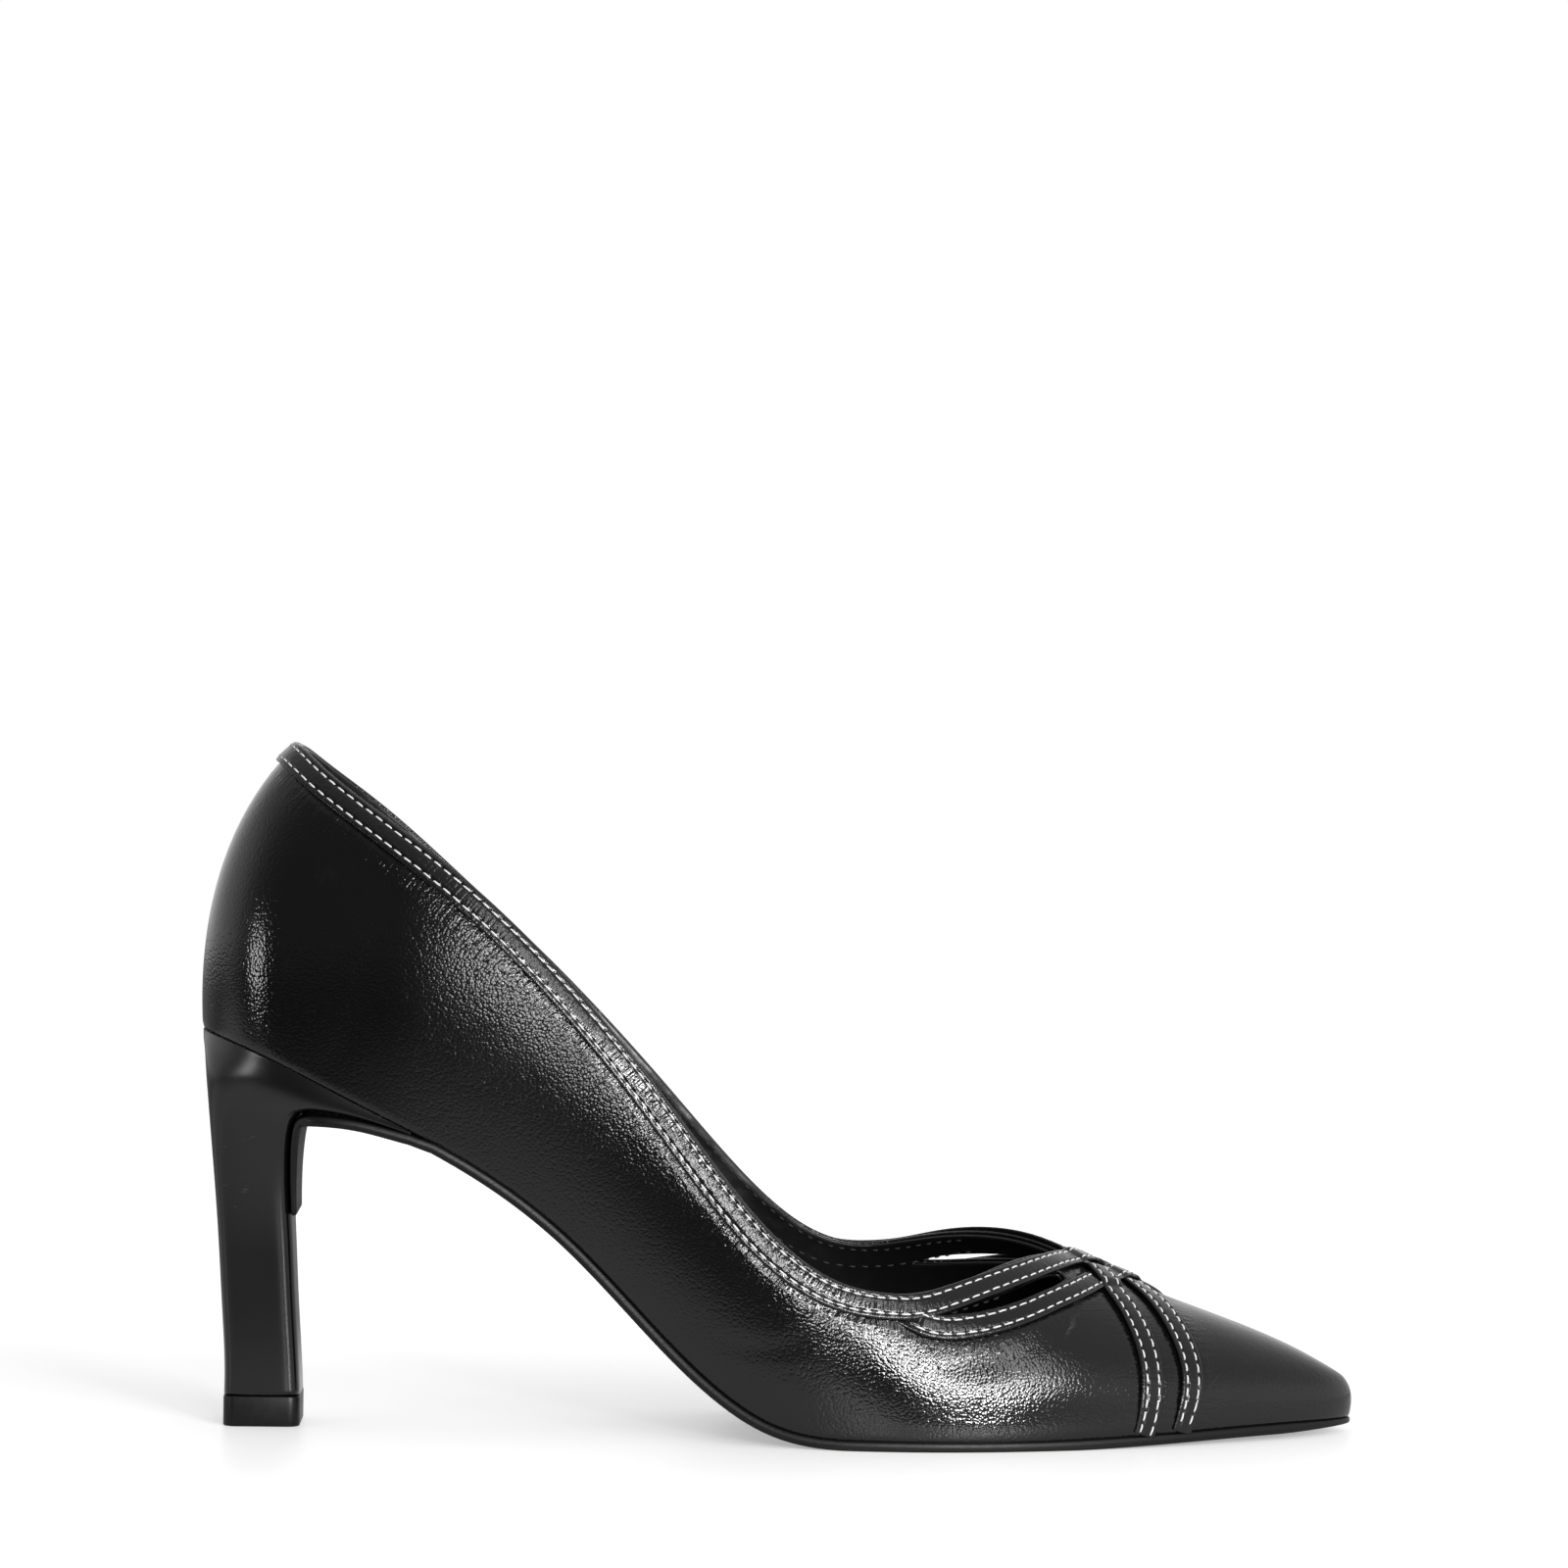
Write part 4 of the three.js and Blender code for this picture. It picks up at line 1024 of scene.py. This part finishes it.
def makeOutsole():
    # from the flap's lower end up the front of the heel, along the arch and the tread to the toe; it is
    # thinner along the flap and at the toe
    flapSteps = int((heel["archRow"] - outsole["flapRow"]) * soleSteps / 2)
    level = np.linspace(outsole["flapRow"], heel["archRow"], flapSteps)
    shares = heelCurve(level)
    x, z = heelFront(level)
    row = rowAtFoot(x)
    seated = np.clip(shares[:, 5], 0, 1)
    half = lerp(heel["width"] / 2, seatHalf, shares[:, 4])
    start = rowAtFoot(heel["wedgeEnd"]) + outsole["wedgeStep"]
    rows = np.linspace(start, toeRow, int((toeRow - start) * soleSteps))
    outer, inner = (np.concatenate([np.stack([x, lerp(side * half, footY(row, side), seated), z], -1),
                                    edgePoints(rows, side, outsole["margin"])]) for side in (-1, 1))
    along = np.gradient((outer + inner) / 2, axis=0)
    under = unit(np.stack([along[:, 2], np.zeros(len(along)), -along[:, 0]], -1))[:, None]
    flapShare = np.minimum((level - outsole["flapRow"]) / outsole["flapTaper"], 1)
    toeShare = smoothStep((toeRow - rows) / outsole["toeTaper"])
    thick = np.concatenate([lerp(outsole["flapThick"], outsole["thick"], flapShare),
                            lerp(outsole["toeThick"], outsole["thick"], toeShare)])[:, None, None]

    def move(flat):
        low = flat + under * (gap + thick)
        low[..., 2] = np.maximum(low[..., 2], 0)
        return low, flat + under * outsole["below"]

    points, faces = plateShell(outer, inner, move, outsole["bulge"])
    points[:, 2] = np.maximum(points[:, 2], 0)
    makePiece("outsolePlate", points, faces, finishes["sole"], ["outsole"])


insole = {"thick": 2.0, "wall": 1.8, "crown": 0.3, "bulge": 0.5}


def makeInsole():
    # a sheet between the walls, a little crowned across
    rows = np.linspace(0, toeRow, toeRow * soleSteps + 1)
    margin = -(insole["wall"] + 2 * gap)

    def move(flat):
        high = flat + np.array([0, 0, insole["thick"] - insole["crown"]])
        high[..., 2] += (1 - (2 * np.linspace(0, 1, flat.shape[1]) - 1) ** 2) * insole["crown"]
        return flat.copy(), high

    points, faces = plateShell(edgePoints(rows, -1, margin), edgePoints(rows, 1, margin), move, insole["bulge"])
    makePiece("insoleSock", points, faces, finishes["sock"], ["insole"])


def makeTopLift():
    # a rounded rectangle with small bevels top and bottom: a corner's arc at each end of the room inside
    size = np.array([heel["length"], heel["width"]]) / 2
    centre = np.array([liftBack + size[0], 0])
    plan = []
    for quarter, signs in enumerate([(1, 1), (-1, 1), (-1, -1), (1, -1)]):
        turn = np.linspace(0, np.pi / 2, lift["turns"]) + quarter * np.pi / 2
        arc = np.stack([np.cos(turn), np.sin(turn)], 1) * lift["corner"]
        plan.append(centre + (size - lift["corner"]) * signs + arc)
    plan = np.concatenate(plan)
    n = len(plan)
    rings = [np.concatenate([centre + (plan - centre) * (1 - inset / size), np.full((n, 1), z)], 1)
             for inset, z in lift["rings"]]
    points = np.concatenate(rings + [[[*centre, 0.0]], [[*centre, lift["height"]]]])
    faces = [gridFaces(len(rings), n, flip=True, wrap=True), fan(0, n, len(points) - 2, flip=True),
             fan((len(rings) - 1) * n, n, len(points) - 1)]
    makePiece("topLiftPiece", points, faces, finishes["rubber"], ["top_lift"])


makeHeel()
makeOutsole()
makeInsole()
makeTopLift()
print("heel and soles ready")


# Floor, lights and camera

studio = {
    # pale table that glows though it is no lamp: seen white by the camera, with painted shade near the shoe
    # where its glow is weaker; greyer in the shoe's gloss, where a patch near the shoe glows and the table is
    # dark further off, a painted light and reflection on the shoe's underside
    "tableX": (-0.9, 0.9), "tableY": (-0.33, 0.9), "tone": 0.8, "nearShadedGlow": 0.38, "farGlow": 0.55,
    "nearEnd": 0.05, "farStart": 0.22, "glossGlow": 0.15, "glossTone": 0.65, "darkTone": 0.12,
    # the room is pale but for a dark side in front on the left
    "darkAzimuth": -115.0, "pale": 0.9, "dim": 0.1, "darkFrom": 0.25, "darkTo": 0.95,
}


def makeFloor():
    finish = Finish("paleTable")
    place = finish.place()
    seen = finish.node("ShaderNodeLightPath")
    tone = finish.mixed(finish.noise(place, 3.0), grey(studio["tone"]), grey(studio["tone"] + 0.02))
    away = finish.axis(place, 1).math("ABSOLUTE")
    away = away.between(studio["nearEnd"], studio["farStart"])
    # painted shade: the glow the camera sees is weaker near the shoe than further off, a painted contact shadow
    bright = finish.mixed(away, grey(studio["nearShadedGlow"]), grey(studio["farGlow"]))
    # painted light and reflection: in the shoe's gloss the table glows only near the shoe, and its colour is
    # grey there and dark further off
    glow = finish.mixed(seen, finish.mixed(away, grey(studio["glossGlow"]), grey(0.0)), bright)
    tone = finish.mixed(seen, finish.mixed(away, grey(studio["glossTone"]), grey(studio["darkTone"])), tone)
    finish.surface(tone, 0.4, 0.25, others={"Emission Color": glow, "Emission Strength": 1.0})
    (left, right), (near, far) = studio["tableX"], studio["tableY"]
    mesh = bpy.data.meshes.new("table")
    corners = [(left, near, 0), (right, near, 0), (right, far, 0), (left, far, 0)]
    mesh.from_pydata(corners, [], [(0, 1, 2, 3)])
    mesh.materials.append(finish.material)
    table = bpy.data.objects.new("table", mesh)
    bpy.context.scene.collection.objects.link(table)


def aimed(place, target):
    # a turn whose -Z runs from a place to a target
    back = unit(np.array(place, float) - np.array(target, float))
    right = unit(np.cross([0, 0, 1], back))
    up = np.cross(back, right)
    return Matrix([[right[k], up[k], back[k], place[k]] for k in range(3)] + [[0, 0, 0, 1]])


# softboxes: middle and what they face, in millimetres from the back of the heel; width, height, brightness
softboxes = [
    ("keyLamp", (490.0, -1000.0, 250.0), (165.0, -35.0, 20.0), 150.0, 130.0, 75.0),
    ("topLamp", (660.0, -1000.0, 440.0), (165.0, -35.0, 20.0), 220.0, 160.0, 22.0),
    ("upperLamp", (740.0, -1000.0, 820.0), (165.0, -35.0, 20.0), 260.0, 420.0, 5.0),
    ("sideLamp", (92.0, -400.0, 128.0), (105.0, -30.0, 60.0), 66.0, 110.0, 19.0),
    ("middleLamp", (205.0, -400.0, 135.0), (130.0, -35.0, 40.0), 50.0, 60.0, 24.0),
    ("leftStrip", (-358.0, -272.0, 105.0), (13.0, -21.0, 98.0), 56.0, 90.0, 12.0),
]


def makeLights():
    # an area light's power is pi * area * brightness, in metres and watts
    for name, middle, target, width, height, brightness in softboxes:
        data = bpy.data.lights.new(name, "AREA")
        data.shape, data.size, data.size_y = "RECTANGLE", width / 1000, height / 1000
        data.energy = math.pi * data.size * data.size_y * brightness
        lamp = bpy.data.objects.new(name, data)
        lamp.matrix_world = aimed(toFrame(middle), toFrame(target))
        lamp.visible_camera = False
        bpy.context.scene.collection.objects.link(lamp)


def makeWorld():
    # white seen past the shoe; in its gloss a room that darkens toward one side, overhead and below
    room = Finish("studioRoom", world=True)
    bpy.context.scene.world = room.material
    way = room.node("ShaderNodeTexCoord")
    turn = math.radians(studio["darkAzimuth"])
    toDark = room.node("ShaderNodeVectorMath", {"operation": "DOT_PRODUCT"},
                       [way, (math.cos(turn), math.sin(turn), 0.0)], 1)
    height = room.axis(way, 2)
    dark = toDark.between(studio["darkFrom"], studio["darkTo"])
    glow = (studio["pale"] - (studio["pale"] - studio["dim"]) * dark) * (1 - 0.4 * height.between(0.3, 0.7))
    glow = glow * (0.2 + 0.8 * height.between(-0.06, 0.0))
    seen = room.node("ShaderNodeLightPath")
    color = room.mixed(seen, room.node("ShaderNodeCombineColor", {}, [glow, glow, glow]), grey(1.0))
    shade = room.node("ShaderNodeBackground", {}, {"Color": color})
    room.node("ShaderNodeOutputWorld", {}, {"Surface": shade})


shot = {"place": (88.0, -1300.0, 170.0), "yaw": 1.4071, "pitch": 1.6059, "roll": 0.82, "lens": 144.238}


def makeCamera():
    yaw, pitch, roll = (math.radians(shot[name]) for name in ("yaw", "pitch", "roll"))
    f = np.array([math.sin(yaw) * math.cos(pitch), math.cos(yaw) * math.cos(pitch), -math.sin(pitch)])
    r = np.array([math.cos(yaw), -math.sin(yaw), 0])
    u = np.cross(r, f)
    right, up = r * math.cos(roll) + u * math.sin(roll), u * math.cos(roll) - r * math.sin(roll)
    place = toFrame(np.array(shot["place"]))
    data = bpy.data.cameras.new("camera")
    data.lens, data.sensor_width, data.clip_end = shot["lens"], 36.0, 50.0
    camera = bpy.data.objects.new("camera", data)
    camera.matrix_world = Matrix([[right[k], up[k], -f[k], place[k]] for k in range(3)] + [[0, 0, 0, 1]])
    bpy.context.scene.collection.objects.link(camera)
    bpy.context.scene.camera = camera


makeFloor()
makeLights()
makeWorld()
makeCamera()
bpy.context.scene.view_settings.view_transform = "Standard"
print("studio ready")
